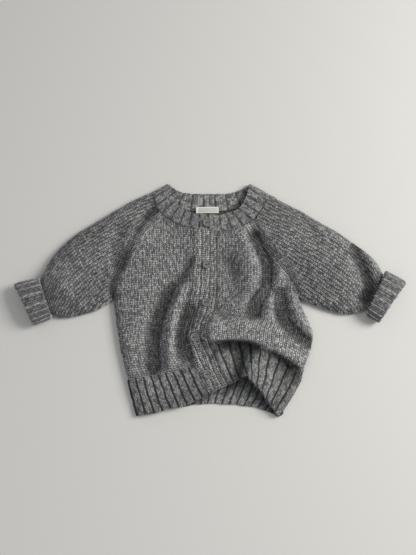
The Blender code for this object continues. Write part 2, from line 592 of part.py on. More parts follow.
def make_label():
    """A blank woven label sewn in at the back of the neck."""
    bpy.ops.mesh.primitive_cube_add(size=1, location=(LABEL_PLACE[0] * MM, LABEL_PLACE[1] * MM,
                                                      (RIB_WALL + 0.35 + LABEL_SIZE[2] / 2) * MM))
    cube = bpy.context.object
    mesh = cube.data
    mesh.transform(Matrix.Diagonal((*[size * MM for size in LABEL_SIZE], 1)))
    label = add_object("neck_label", mesh, (0.75, 0.73, 0.68, 1.0), 0.6)
    label.location = cube.location
    bpy.data.objects.remove(cube)


BUTTON_PLACES = [(-1.2, 73.2), (-1.4, 12.5), (-2.3, -40.1), (-17.2, -87), (-0.4, -135)]

for existing in list(bpy.data.objects):
    bpy.data.objects.remove(existing)
cardigan = bpy.data.collections.new("baby cardigan")
cutters = bpy.data.collections.new("cutters")
bpy.context.scene.collection.children.link(cardigan)
bpy.context.scene.collection.children.link(cutters)

make_back()
make_fronts()
make_bands()
make_sleeve("right_sleeve", CUFFS["right_cuff"], -1, right_shoulder, right_underarm,
            chain(along(right_raglan, RAGLAN_STEPS), neck_line(ROW["right raglan"], ROW["right shoulder"], 6)),
            chain(along(right_back_raglan, RAGLAN_STEPS), neck_line(ROW["right back"], ROW["right shoulder"], 6)))
make_sleeve("left_sleeve", CUFFS["left_cuff"], 1, left_shoulder, left_underarm,
            chain(along(left_raglan, RAGLAN_STEPS), neck_line(ROW["left raglan"], ROW["left shoulder"], 6)),
            chain(along(left_back_raglan, RAGLAN_STEPS), neck_line(ROW["left back"], ROW["left shoulder"], 6)))
for cuff_name, cuff_plan in CUFFS.items():
    make_cuff(cuff_name, cuff_plan, 2 * SLEEVE_COLUMNS)
make_neckband()
for number, button_place in enumerate(BUTTON_PLACES, 1):
    make_button(f"button_{number}", button_place, surface_at(button_place, BUTTON_DIAMETER / 2))
make_label()

# The frame's origin is the middle of the underside of the whole.
bpy.context.view_layer.update()
corners = np.array([obj.matrix_world @ vert.co for obj in cardigan.objects for vert in obj.data.vertices])
low, high = corners.min(axis=0), corners.max(axis=0)
for obj in cardigan.objects:
    obj.location -= Vector(((low[0] + high[0]) / 2, (low[1] + high[1]) / 2, low[2]))
print("middle of the plan, in mm:", np.round((low + high) / 2 / MM, 3))
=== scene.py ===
import bpy
import bmesh
import math
import numpy as np
from mathutils import Matrix, Vector


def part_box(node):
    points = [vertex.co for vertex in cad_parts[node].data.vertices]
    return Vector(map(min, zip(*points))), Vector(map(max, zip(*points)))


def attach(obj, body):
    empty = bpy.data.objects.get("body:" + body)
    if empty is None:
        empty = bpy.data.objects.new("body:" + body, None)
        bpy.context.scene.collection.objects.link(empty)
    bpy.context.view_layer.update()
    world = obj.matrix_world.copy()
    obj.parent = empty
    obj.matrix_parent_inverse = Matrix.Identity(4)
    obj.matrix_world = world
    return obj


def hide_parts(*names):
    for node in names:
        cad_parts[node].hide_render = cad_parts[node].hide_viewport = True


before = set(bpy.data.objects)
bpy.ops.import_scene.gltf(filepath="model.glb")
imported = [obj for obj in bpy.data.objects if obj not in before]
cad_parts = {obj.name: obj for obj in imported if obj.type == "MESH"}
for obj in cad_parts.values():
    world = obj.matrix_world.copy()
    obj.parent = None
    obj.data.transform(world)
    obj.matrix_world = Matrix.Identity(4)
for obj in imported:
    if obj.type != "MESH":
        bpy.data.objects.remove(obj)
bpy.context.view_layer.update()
mm = 0.001

# Sizes are in mm, on a plan with the hem low, the neck high and the wearer's left at +x.
knit = {
    "wale": 4.2,           # width of one stitch
    "course": 3.1,         # height of one row
    "relief": 1.5,         # how far the yarn stands above the gaps
    "uneven": 0.34,        # how much the legs of the stitches differ
    "wander": 0.6,         # how far the wales and rows stray
    "wall": 2.0,           # cloth under the yarn
    "slant": 1.25,         # how many rows one leg of a stitch climbs
    "columns": 4,          # grid columns to a stitch
    "rows": 3,             # grid rows to a stitch
}
lay = {
    "middle": (3.009, -24.5),   # the plan's place in the frame
    "sideHeight": 4.0,
    "topRound": 13.0,
    "underRound": 6.0,
    "bodyHeight": 10.5,
    "lowestFold": 6.0,
    "bandLift": 3.4,
    "liftReach": 15.0,
    "lean": 0.72,          # how far the overhang's crest leans to the hem for each mm of height
    "leanFrom": 11.5,
    "hollowReach": 11,     # how wide a fold's painted hollow shade reaches
    # how dark a fold's hollow is painted and how light its crest: painted shade and painted light
    "paintedHollowShade": 0.26,
    # painted shadows beside seams, the band's edge and under the overhang: line, side that the shadow falls on,
    # strength, reach
    "paintedSeamShadows": [("bandEdge", -1, 0.42, 3.6), ("bandSeam", 1, 0.34, 3.4), ("rightNeck", -1, 0.45, 3.4),
                    ("leftNeck", -1, 0.3, 3.0), ("leftRibTop", -1, 0.5, 14.0)],
    # painted shadows on the back's hem rib, where the fronts' hems lie over it
    "paintedHemShadows": [("leftHem", -1, 0.62, 11.0), ("rightHem", -1, 0.45, 5.0)],
}
outline = {
    "rightSide": [(-89, -185), (-96, -163), (-102, -140), (-112, -104), (-118, -74), (-122, -50), (-124, -34)],
    "leftSide": [(88, -186), (103, -165), (118, -139), (129, -110), (136, -84), (131, -62), (124, -46), (121, -33)],
    "rightUnderarm": [(-207, -52), (-199, -56), (-186, -58), (-166, -54), (-145, -47), (-124, -34)],
    "leftUnderarm": [(208, -47), (195, -51), (180, -53), (159, -48), (138, -40), (121, -33)],
    "rightShoulder": [(-224, -8), (-219, 4), (-210, 25), (-198, 41), (-179, 60), (-150, 80), (-122, 99), (-98, 114),
                      (-77, 124)],
    "leftShoulder": [(233, 3), (225, 20), (213, 34), (193, 50), (172, 66), (151, 79), (129, 94), (104, 108),
                     (78, 125)],
    "rightRaglan": [(-124, -34), (-127, -14), (-119, 10), (-107, 36), (-92, 66), (-67, 95)],
    "leftRaglan": [(121, -33), (111, -8), (97, 12), (79, 39), (54, 77)],
    "rightBackRaglan": [(-124, -34), (-90, 45), (-50, 106)],
    "leftBackRaglan": [(121, -33), (90, 45), (50, 106)],
    "bandSeam": [(1, -158), (-17, -123), (-27, -104), (-32, -88), (-31, -70), (-26, -49), (-21, -18), (-19, 20),
                 (-19, 67)],
    "bandEdge": [(24, -147), (14, -127), (6, -106), (0, -88), (-2, -72), (7, -50), (11, -18), (11, 20), (11, 63)],
    "rightRibTop": [(-102, -140), (-73, -135), (-45, -131), (-17, -123)],
    "rightHem": [(-89, -185), (-72, -183), (-54, -178), (-35, -174), (-14, -166), (1, -158)],
    "leftRibTop": [(6, -106), (16, -93), (37, -91), (56, -94), (74, -103), (98, -117), (118, -139)],
    "leftHem": [(24, -147), (33, -143), (43, -136), (49, -137), (58, -147), (67, -157), (77, -172), (88, -186)],
    "backRibTop": [(-102, -140), (-40, -132), (8, -130), (60, -132), (118, -139)],
    "backHem": [(-89, -185), (-54, -177), (-16, -171), (3, -169.5), (40, -171.5), (66, -176), (88, -186)],
    "rightNeck": [(-67, 95), (-58, 86), (-46, 77), (-32, 71), (-19, 67)],
    "leftNeck": [(11, 63), (26, 65), (41, 70), (54, 77)],
    "rightSleeveNeck": [(-67, 95), (-72, 105), (-75, 116), (-77, 124)],
    "leftSleeveNeck": [(54, 77), (64, 85), (71, 94), (75, 105), (77, 116), (78, 125)],
    "rightBackNeck": [(-50, 106), (-64, 115), (-73, 122), (-77, 124)],
    "leftBackNeck": [(50, 106), (65, 116), (74, 123), (78, 125)],
    "backNeck": [(-50, 106), (-34, 99), (-17, 96), (0, 95), (17, 96), (34, 99), (50, 106)],
}
overhang = [(10, -83), (35, -82), (56, -84), (76, -91), (98, -102), (117, -117)]
# Folds: crest height, reach to the left and right of the path, and the path.
folds = [
    (7.0, 34, 30, [(-108, 60), (-150, 32), (-188, 0)]),                             # right sleeve swell
    (2.5, 9, 9, [(-214, -4), (-186, -22)]),                                         # its gather at the cuff
    (-4.0, 12, 9, [(-117, 62), (-122, 38), (-120, 18)]),                            # its elbow crease
    (7.0, 30, 34, [(112, 55), (155, 32), (192, 2)]),                                # left sleeve swell
    (-8.5, 9, 12, [(199, 36), (205, 14), (212, -14), (207, -30)]),                  # its cuff crease
    (2.5, 8, 8, [(150, 62), (190, 38), (216, 16)]),                                 # its shoulder roll
    (-3.8, 5, 8, [(-124, -28), (-126, -12), (-107, 36), (-92, 68), (-76, 95)]),     # right raglan
    (-1.2, 9, 7, [(119, -26), (100, 8), (84, 34), (66, 70)]),                       # left raglan
    (2.5, 30, 30, [(-80, 0), (-60, 30)]),                                           # right chest swell
    (-3.5, 6, 8, [(-23, 18), (-32, 0), (-42, -14)]),                                # start of the right valley
    (-7.0, 9, 12, [(-50, -25), (-59, -45), (-66, -67), (-70, -93), (-69, -124)]),   # right front valley
    (6.5, 7, 8, [(-36, -24), (-45, -52), (-50, -88), (-49, -122)]),                 # right front ridge
    (-7.5, 8, 9, [(-24, -50), (-30, -68), (-34, -86), (-29, -106)]),                # hollow beside the band
    (-3.0, 6, 6, [(-27, -108), (-19, -122)]),                                       # the hollow's end
    (2.5, 9, 12, [(6, -60), (4, -84), (14, -116)]),                                 # ridge of the band's edge
    (5.0, 17, 16, [(52, 52), (60, 22), (56, -8)]),                                  # left chest swell
    (-3.0, 12, 12, [(28, 20), (36, 0), (42, -20)]),                                 # left chest hollow
    (-10.0, 9, 10, [(61, 55), (72, 31), (79, 10), (75, -16), (66, -34), (60, -52)]),# left armhole fold
    (3.5, 8, 8, [(93, 12), (91, -14), (81, -38), (78, -60)]),                       # left armhole ridge
    (-9.5, 9, 10, [(93, -24), (95, -48), (101, -66), (113, -80), (126, -92)]),      # left side fold
    (3.0, 7, 7, [(112, -34), (119, -58), (128, -74)]),                              # left side ridge
    (13.0, 24, 6.5, overhang),
    (11.0, 22, 8, [(66, -106), (56, -122), (50, -138), (47, -146)]),                # hem arch
    (4.0, 16, 14, [(88, -122), (72, -148)]),                                        # its shoulder
    (-3.5, 6, 6, [(37, -98), (39, -118), (40, -134)]),                              # valley in the hem
    (-2.5, 22, 30, [(-100, -180), (-50, -172), (0, -160)]),                         # the hem settles
]


def smoothLine(points, pieces=8):
    p = np.array(points, float)
    ends = np.vstack([2 * p[0] - p[1], p, 2 * p[-1] - p[-2]])
    t = np.linspace(0, 1, pieces, endpoint=False)[:, None]
    out = []
    for a, b, c, d in zip(ends[:-3], ends[1:-2], ends[2:-1], ends[3:]):
        out.append(0.5 * (2 * b + (c - a) * t + (2 * a - 5 * b + 4 * c - d) * t**2 + (3 * b - a - 3 * c + d) * t**3))
    return np.vstack(out + [p[-1:]])


def lineShares(line):
    steps = np.concatenate([[0], np.cumsum(np.linalg.norm(np.diff(line, axis=0), axis=1))])
    return steps / steps[-1]


def lineLength(line):
    return float(np.linalg.norm(np.diff(line, axis=0), axis=1).sum())


def along(line, at):
    at = np.asarray(at)
    own = lineShares(line)
    return np.stack([np.interp(at, own, line[:, k]) for k in range(line.shape[1])], axis=-1)


def shifted(line, distance):
    run = np.gradient(line, axis=0)
    run /= np.linalg.norm(run, axis=1)[:, None]
    return line + distance * np.stack([-run[:, 1], run[:, 0]], axis=1)


def nearestOn(points, line):
    # distance from the line, and the side: 1 on its left, -1 on its right
    best = np.full(len(points), np.inf)
    side = np.zeros(len(points))
    for a, b in zip(line[:-1], line[1:]):
        run = b - a
        share = np.clip((points - a) @ run / (run @ run), 0, 1)
        off = points - a - share[:, None] * run
        distance = np.linalg.norm(off, axis=1)
        cross = (run[0] * off[:, 1] - run[1] * off[:, 0]) / (np.linalg.norm(run) * np.maximum(distance, 1e-6))
        # at a corner the piece that the point is more squarely beside settles the side
        closer = (distance < best - 1e-7) | ((distance < best + 1e-7) & (np.abs(cross) > np.abs(side)))
        best[closer], side[closer] = distance[closer], cross[closer]
    return best, side


line = {name: smoothLine(points) for name, points in outline.items()}
silhouette = [
    np.vstack([line["leftSide"][:-1], line["leftUnderarm"][::-1]]),
    line["leftShoulder"],
    line["rightShoulder"][::-1],
    np.vstack([line["rightUnderarm"][:-1], line["rightSide"][::-1]]),
]

# Maps of the lay: how far in from the silhouette, and how high the upper layer is.
mapLow, mapHigh = np.array([-270.0, -200.0]), np.array([275.0, 150.0])
mapX, mapY = np.meshgrid(np.arange(mapLow[0], mapHigh[0]), np.arange(mapLow[1], mapHigh[1]))
mapPoints = np.column_stack([mapX.ravel(), mapY.ravel()])


def makeMaps():
    inside = np.full(len(mapPoints), np.inf)
    for edge in silhouette:
        distance, side = nearestOn(mapPoints, edge)
        nearer = distance < np.abs(inside)
        inside[nearer] = (np.sign(side) * distance)[nearer]
    height = np.full(len(mapPoints), lay["bodyHeight"])
    for crest, left, right, path in folds:
        distance, side = nearestOn(mapPoints, smoothLine(path, 4))
        reach = left * (1 + side) / 2 + right * (1 - side) / 2
        height += crest * np.exp(-((distance / reach) ** 2))
    distance, _ = nearestOn(mapPoints, line["bandSeam"])
    lift = lay["bandLift"] * np.exp(-((distance / lay["liftReach"]) ** 2))
    return {"inside": inside.reshape(mapX.shape), "lift": lift.reshape(mapX.shape),
            "height": np.maximum(height, lay["lowestFold"]).reshape(mapX.shape),
            "lean": np.exp(-((nearestOn(mapPoints, smoothLine(overhang, 4))[0] / 20) ** 2)).reshape(mapX.shape)}


def softened(table, reach):
    # three box blurs, near enough a round one
    for axis in (0, 1, 0, 1, 0, 1):
        pad = [(reach + 1, reach) if k == axis else (0, 0) for k in (0, 1)]
        total = np.cumsum(np.pad(table, pad, mode="edge"), axis=axis)
        size = table.shape[axis]
        high = np.take(total, np.arange(size) + 2 * reach + 1, axis=axis)
        table = (high - np.take(total, np.arange(size), axis=axis)) / (2 * reach + 1)
    return table


maps = makeMaps()


def shadowed(shade, shadows):
    # painted shadow: each line darkens the map on one side of it
    for name, facing, strength, reach in shadows:
        distance, side = nearestOn(mapPoints, line[name])
        cast = strength * np.exp(-((distance / reach) ** 2)) * (np.sign(side) == facing)
        shade = shade * (1 - cast.reshape(shade.shape))
    return shade


# painted shade in the hollows of folds and painted light on their crests, from the height against its softened copy
paintedFoldShade = 1 - lay["paintedHollowShade"] * (softened(maps["height"], lay["hollowReach"]) - maps["height"])
maps["shade"] = shadowed(np.clip(paintedFoldShade, 0.38, 1.18), lay["paintedSeamShadows"])
maps["underShade"] = shadowed(np.ones(mapX.shape), lay["paintedHemShadows"])


def readMap(name, points):
    # cubic interpolation, so that the cloth takes no facets from the map
    table = maps[name]
    at = points - mapLow
    cell = np.clip(np.floor(at).astype(int), 1, np.array(table.shape[::-1]) - 3)
    f = at - cell
    weights = []
    for k in (0, 1):
        t = f[:, k]
        weights.append([(-t**3 + 2 * t**2 - t) / 2, (3 * t**3 - 5 * t**2 + 2) / 2,
                        (-3 * t**3 + 4 * t**2 + t) / 2, (t**3 - t**2) / 2])
    total = np.zeros(len(points))
    for j in range(4):
        for i in range(4):
            total += weights[0][i] * weights[1][j] * table[cell[:, 1] + j - 1, cell[:, 0] + i - 1]
    return total


def layHeight(points, layer, lift=0.0):
    inside = readMap("inside", points)
    if layer == "upper":
        share = np.clip(inside / lay["topRound"], 0, 1)
        rise = np.sqrt(1 - (1 - share) ** 2)
        low = lay["sideHeight"] + 0.2
        return low + (readMap("height", points) + lift - low) * rise
    if layer == "raised":
        return layHeight(points, "upper", readMap("lift", points))
    share = np.clip(inside / lay["underRound"], 0, 1)
    return (lay["sideHeight"] - 0.2) * (1 - np.sqrt(1 - (1 - share) ** 2))


def layCloth(points, layer, lift=0.0):
    # the place and the outward direction of the cloth over each point of the plan
    z = layHeight(points, layer, lift)
    if layer != "lower":
        lean = lay["lean"] * np.maximum(z - lay["leanFrom"], 0) * readMap("lean", points)
    step = 0.6
    slope = [layHeight(points + d, layer, lift) - layHeight(points - d, layer, lift)
             for d in (np.array([step, 0]), np.array([0, step]))]
    normal = np.column_stack([-slope[0] / (2 * step), -slope[1] / (2 * step), np.ones(len(points))])
    if layer == "lower":
        normal = -normal
    else:
        points = points - lean[:, None] * np.array([0.16, 0.98])
        normal[:, 1] = normal[:, 1] - lay["lean"] * readMap("lean", points) * np.clip((z - lay["leanFrom"]) / 3, 0, 1)
    return np.column_stack([points, z]), normal / np.linalg.norm(normal, axis=1)[:, None]


def layShade(points, layer):
    # the upper layers take the painted fold and seam shade, the lower layer the painted hem shadows
    return readMap("shade" if layer != "lower" else "underShade", points)


def strayed(points):
    # hand knitting wanders a little, alike on both sides of a seam
    x, y = points[:, 0], points[:, 1]
    across = np.sin(0.21 * y + 1.9 * np.sin(0.083 * x)) + 0.6 * np.sin(0.53 * y + 0.31 * x)
    upward = np.sin(0.24 * x + 1.7 * np.sin(0.091 * y)) + 0.6 * np.sin(0.47 * x - 0.35 * y)
    return points + knit["wander"] * 0.6 * np.column_stack([across, upward])


print("maps of the lay:", maps["height"].shape, round(float(maps["height"].max()), 1))

# From here on s counts wales and t counts rows.
# How deep the gap is inside a stitch and between stitches, and how much each leg swells.
bodyStitch = {"inner": 0.62, "between": 0.86, "swell": 0.72}
sleeveStitch = {"inner": 0.75, "between": 1.2, "swell": 0.6}
bandStitch = {"inner": 0.7, "between": 1.05, "swell": 0.85}


def stitchRelief(s, t, kind=bodyStitch):
    # each stitch is two legs that climb outwards from its middle; 0 in a gap, 1 on the crown of a leg
    a = np.abs(s - np.floor(s) - 0.5)
    off = np.abs(a - 0.25) / 0.25
    across = np.clip(1 - np.where(a < 0.25, kind["inner"] * off**1.7, kind["between"] * off**1.6), 0, 1)
    phase = t - knit["slant"] * a
    swell = 0.5 + 0.5 * np.cos(2 * np.pi * (phase - np.floor(phase) - 0.5))
    own = np.sin(np.floor(2 * s) * 12.9898 + np.floor(phase) * 78.233) * 43758.5453
    return across * (1 - kind["swell"] * (1 - swell)) * (1 - knit["uneven"] * (own - np.floor(own)))


rib = {
    "knits": 2,           # raised wales, then one sunk wale
    "knitShare": 0.78,    # how much of a repeat the raised wales take
}


def ribRelief(s, t):
    turn = s % (rib["knits"] + 1)
    dome = np.abs(np.sin(np.pi * np.clip(turn / rib["knits"], 0, 1))) ** 0.5
    valley = np.sin(np.pi * np.clip(turn - rib["knits"], 0, 1))
    purl = 0.5 + 0.5 * np.cos(2 * np.pi * t)
    raised = 0.40 + 0.30 * dome + 0.85 * (stitchRelief(s, t) - 0.5)
    return np.where(turn < rib["knits"], raised, 0.38 - 0.36 * valley + 0.18 * purl)


def neckRelief(s, t):
    return np.maximum(ribRelief(s, t), 0.26 + 0.12 * np.sin(0.7 * s) * np.sin(0.9 * t + s))


def cuffRelief(s, t):
    # a turned cuff shows the rib's other side: narrow ridges between wide stretches of purl
    turn = s % (rib["knits"] + 1)
    ridge = np.sin(np.pi * np.clip(turn - rib["knits"], 0, 1))
    bump = 0.5 + 0.5 * np.cos(2 * np.pi * (t + 0.5 * np.floor(2 * s)))
    hollow = np.abs(np.sin(2 * np.pi * turn)) ** 0.6
    return np.where(turn < rib["knits"], 0.20 + 0.50 * bump * hollow, 0.35 + 0.55 * ridge + 0.1 * bump)


def bandRelief(s, t):
    # a softer rib, with more of its purl bumps showing
    turn = s % (rib["knits"] + 1)
    valley = np.sin(np.pi * np.clip(turn - rib["knits"], 0, 1))
    purl = 0.5 + 0.5 * np.cos(2 * np.pi * t)
    raised = 0.60 + 1.1 * (stitchRelief(s, t, bandStitch) - 0.5)
    return np.where(turn < rib["knits"], raised, 0.36 - 0.30 * valley + 0.34 * purl)


def ribSpread(s):
    # where each wale of a rib lies: the raised ones are wide and the sunk ones narrow
    repeat = rib["knits"] + 1
    turn = s % repeat
    wide = turn / rib["knits"] * rib["knitShare"]
    narrow = rib["knitShare"] + (turn - rib["knits"]) * (1 - rib["knitShare"])
    return repeat * (s // repeat + np.where(turn < rib["knits"], wide, narrow))


def gridMesh(name, nx, ny):
    # a plain grid from 0 to nx and 0 to ny, and each vertex's place in it
    bm = bmesh.new()
    bmesh.ops.create_grid(bm, x_segments=nx, y_segments=ny, size=0.5)
    mesh = bpy.data.meshes.new(name)
    bm.to_mesh(mesh)
    bm.free()
    flat = np.empty(len(mesh.vertices) * 3, np.float32)
    mesh.vertices.foreach_get("co", flat)
    flat = flat.reshape(-1, 3)
    return mesh, np.rint((flat[:, 0] + 0.5) * nx), np.rint((flat[:, 1] + 0.5) * ny)


def setMesh(mesh, points, s, t, depth, faceUp, shade):
    # faceUp is the way that each vertex's outer face should look; nothing sinks into the surface below
    points[:, 2] = np.maximum(points[:, 2], 0.1)
    mesh.vertices.foreach_set("co", (points * mm).astype(np.float32).ravel())
    # shade carries painted shade and painted light into the material; on the label it also carries the label's own
    # tones
    for name, values in (("depth", depth), ("shade", shade)):
        attribute = mesh.attributes.new(name, "FLOAT", "POINT")
        attribute.data.foreach_set("value", values.astype(np.float32))
    corner = np.empty(len(mesh.loops), np.int32)
    mesh.loops.foreach_get("vertex_index", corner)
    uv = mesh.uv_layers.new(name="stitches")
    uv.data.foreach_set("uv", np.column_stack([s, t])[corner].astype(np.float32).ravel())
    mesh.update()
    normal = np.empty(len(mesh.vertices) * 3, np.float32)
    mesh.vertices.foreach_get("normal", normal)
    if (normal.reshape(-1, 3) * faceUp).sum() < 0:
        mesh.flip_normals()
    bm = bmesh.new()
    bm.from_mesh(mesh)
    bmesh.ops.remove_doubles(bm, verts=bm.verts, dist=0.00002)
    bm.to_mesh(mesh)
    bm.free()
    mesh.shade_smooth()


def joinMeshes(name, meshes):
    whole = bpy.data.meshes.new(name)
    bm = bmesh.new()
    for mesh in meshes:
        bm.from_mesh(mesh)
    bm.to_mesh(whole)
    bm.free()
    for mesh in meshes:
        bpy.data.meshes.remove(mesh)
    whole.shade_smooth()
    return whole


def addPiece(name, mesh, material, nodes, wall=0.0):
    piece = bpy.data.objects.new(name, mesh)
    bpy.context.scene.collection.objects.link(piece)
    mesh.transform(Matrix.Translation(Vector((-lay["middle"][0] * mm, -lay["middle"][1] * mm, 0))))
    mesh.materials.append(material)
    if wall:
        solid = piece.modifiers.new("wall", "SOLIDIFY")
        solid.thickness = wall * mm
        solid.offset = -1
        solid.use_even_offset = False
        graph = bpy.context.evaluated_depsgraph_get()
        whole = bpy.data.meshes.new_from_object(piece.evaluated_get(graph), depsgraph=graph)
        piece.modifiers.clear()
        piece.data = whole
        for vertex in whole.vertices:
            vertex.co.z = max(vertex.co.z, 0.1 * mm)
    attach(piece, "root")
    if nodes:
        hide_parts(*nodes)
    return piece


def crossings(starts, ends, cutter):
    # for each row, how far along it a line cuts it, as a share; infinite where it doesn't
    out = np.full(len(starts), np.inf)
    run = ends - starts
    for a, b in zip(cutter[:-1], cutter[1:]):
        e = b - a
        cross = run[:, 0] * e[1] - run[:, 1] * e[0]
        safe = np.where(np.abs(cross) < 1e-9, 1e-9, cross)
        share = ((a[0] - starts[:, 0]) * e[1] - (a[1] - starts[:, 1]) * e[0]) / safe
        other = ((a[0] - starts[:, 0]) * run[:, 1] - (a[1] - starts[:, 1]) * run[:, 0]) / safe
        hit = (other >= -1e-6) & (other <= 1 + 1e-6) & (share > -0.02)
        out = np.where(hit & (share < out), share, out)
    return out


def roundTable(reach, height):
    # lengths over a rounded edge: along the cloth, and in from the edge on the plan
    plan = reach * (1 - np.cos(np.linspace(0, np.pi / 2, 60)))
    z = height * np.sin(np.linspace(0, np.pi / 2, 60))
    arc = np.concatenate([[0], np.cumsum(np.hypot(np.diff(plan), np.diff(z)))])
    return np.append(arc, arc[-1] + 1000), np.append(plan, plan[-1] + 1000)


topEdge, underEdge = roundTable(lay["topRound"], 8.0), roundTable(lay["underRound"], 4.0)


def panelPlan(anchor, far, wales, rows, high=None, low=None, perWale=None, nearEdge=None, farEdge=None):
    # Rows run from the anchor line to the far line, and wales are counted from the anchor.
    # The high line cuts the rows' far ends, the low line their near ends.
    fine = 600
    shares = np.linspace(0, 1, fine)
    starts, ends = along(anchor, shares), along(far, shares)
    width = np.linalg.norm(ends - starts, axis=1)
    extra = 0.0 if farEdge is None else farEdge[0][-2] - farEdge[1][-2]

    def toPlan(arc, width):
        if nearEdge is not None:
            return np.interp(arc, *nearEdge)
        if farEdge is not None:
            return width - np.interp(width + extra - arc, *farEdge)
        return arc

    def toArc(plan, width):
        if nearEdge is not None:
            return np.interp(plan, nearEdge[1], nearEdge[0])
        if farEdge is not None:
            return width + extra - np.interp(width - plan, farEdge[1], farEdge[0])
        return plan

    inMm = (width + extra) / wales if perWale is None else np.full(fine, perWale)
    last = np.full(fine, 1.0) if high is None else np.minimum(crossings(starts, ends, high), 1.0)
    first = np.zeros(fine) if low is None else crossings(starts, ends, low)
    first = np.where(np.isfinite(first), np.clip(first, 0, 1), 0.0)
    first, last = toArc(first * width, width) / inMm, toArc(np.maximum(last, 0) * width, width) / inMm
    table = np.column_stack([starts, ends, width, first, last, inMm])

    def place(s, t):
        at = np.clip(t / rows, 0, 1) * (fine - 1)
        row = np.stack([np.interp(at, np.arange(fine), table[:, k]) for k in range(table.shape[1])], axis=1)
        kept = np.minimum(np.maximum(s, row[:, 5]), np.maximum(row[:, 6], row[:, 5]))
        share = (toPlan(kept * row[:, 7], row[:, 4]) / row[:, 4])[:, None]
        return row[:, 0:2] * (1 - share) + row[:, 2:4] * share, kept

    return place


def knitPatch(name, place, wales, rows, layer, relief=None, lift=0.0, columns=knit["columns"], perRow=knit["rows"],
              sink=0.0, reliefHeight=knit["relief"], edgeRound=None, kind=bodyStitch):
    # one grid of stitches, laid over the plan; a rib brings its own relief
    mesh, i, j = gridMesh(name, int(math.ceil(wales)) * columns, int(math.ceil(rows)) * perRow)
    s, t = i / columns, np.minimum(j / perRow, rows)
    if relief:
        plan = strayed(place(ribSpread(s), t)[0])
        depth = relief(s, t)
    else:
        kept = place(s, t)[1]
        whole = np.abs(kept - s) < 1e-6
        fade = np.clip(np.minimum(t, rows - t) / 1.5, 0, 1)
        t = np.clip(t + knit["slant"] * np.abs(s - np.floor(s) - 0.5) * fade * whole, 0, rows)
        plan, s = place(np.where(whole, s, kept), t)
        plan = strayed(plan)
        depth = stitchRelief(s, t, kind)
    points, normal = layCloth(plan, layer, lift)
    points[:, 2] -= sink
    if edgeRound:
        points[:, 2] -= edgeRound(s, t)
    points = points + normal * (reliefHeight * (depth - 0.6))[:, None]
    setMesh(mesh, points, s, t, depth, normal, layShade(plan, layer))
    return mesh


print("stitches:", knit["wale"], "by", knit["course"], "mm")


def socketsOf(group, ins, outs):
    for name, kind, value in ins:
        socket = group.interface.new_socket(name, in_out="INPUT", socket_type=kind)
        socket.default_value = value
    for name, kind in outs:
        group.interface.new_socket(name, in_out="OUTPUT", socket_type=kind)


def mathNode(tree, operation, a, b=None, clamp=False):
    node = tree.nodes.new("ShaderNodeMath")
    node.operation = operation
    node.use_clamp = clamp
    for k, value in enumerate((a, b)):
        if value is None:
            continue
        if isinstance(value, (int, float)):
            node.inputs[k].default_value = value
        else:
            tree.links.new(value, node.inputs[k])
    return node.outputs[0]


def mixColour(tree, factor, a, b, blend="MIX"):
    node = tree.nodes.new("ShaderNodeMix")
    node.data_type = "RGBA"
    node.blend_type = blend
    for socket, value in ((node.inputs[0], factor), (node.inputs[6], a), (node.inputs[7], b)):
        if hasattr(value, "links"):
            tree.links.new(value, socket)
        else:
            socket.default_value = value
    return node.outputs[2]


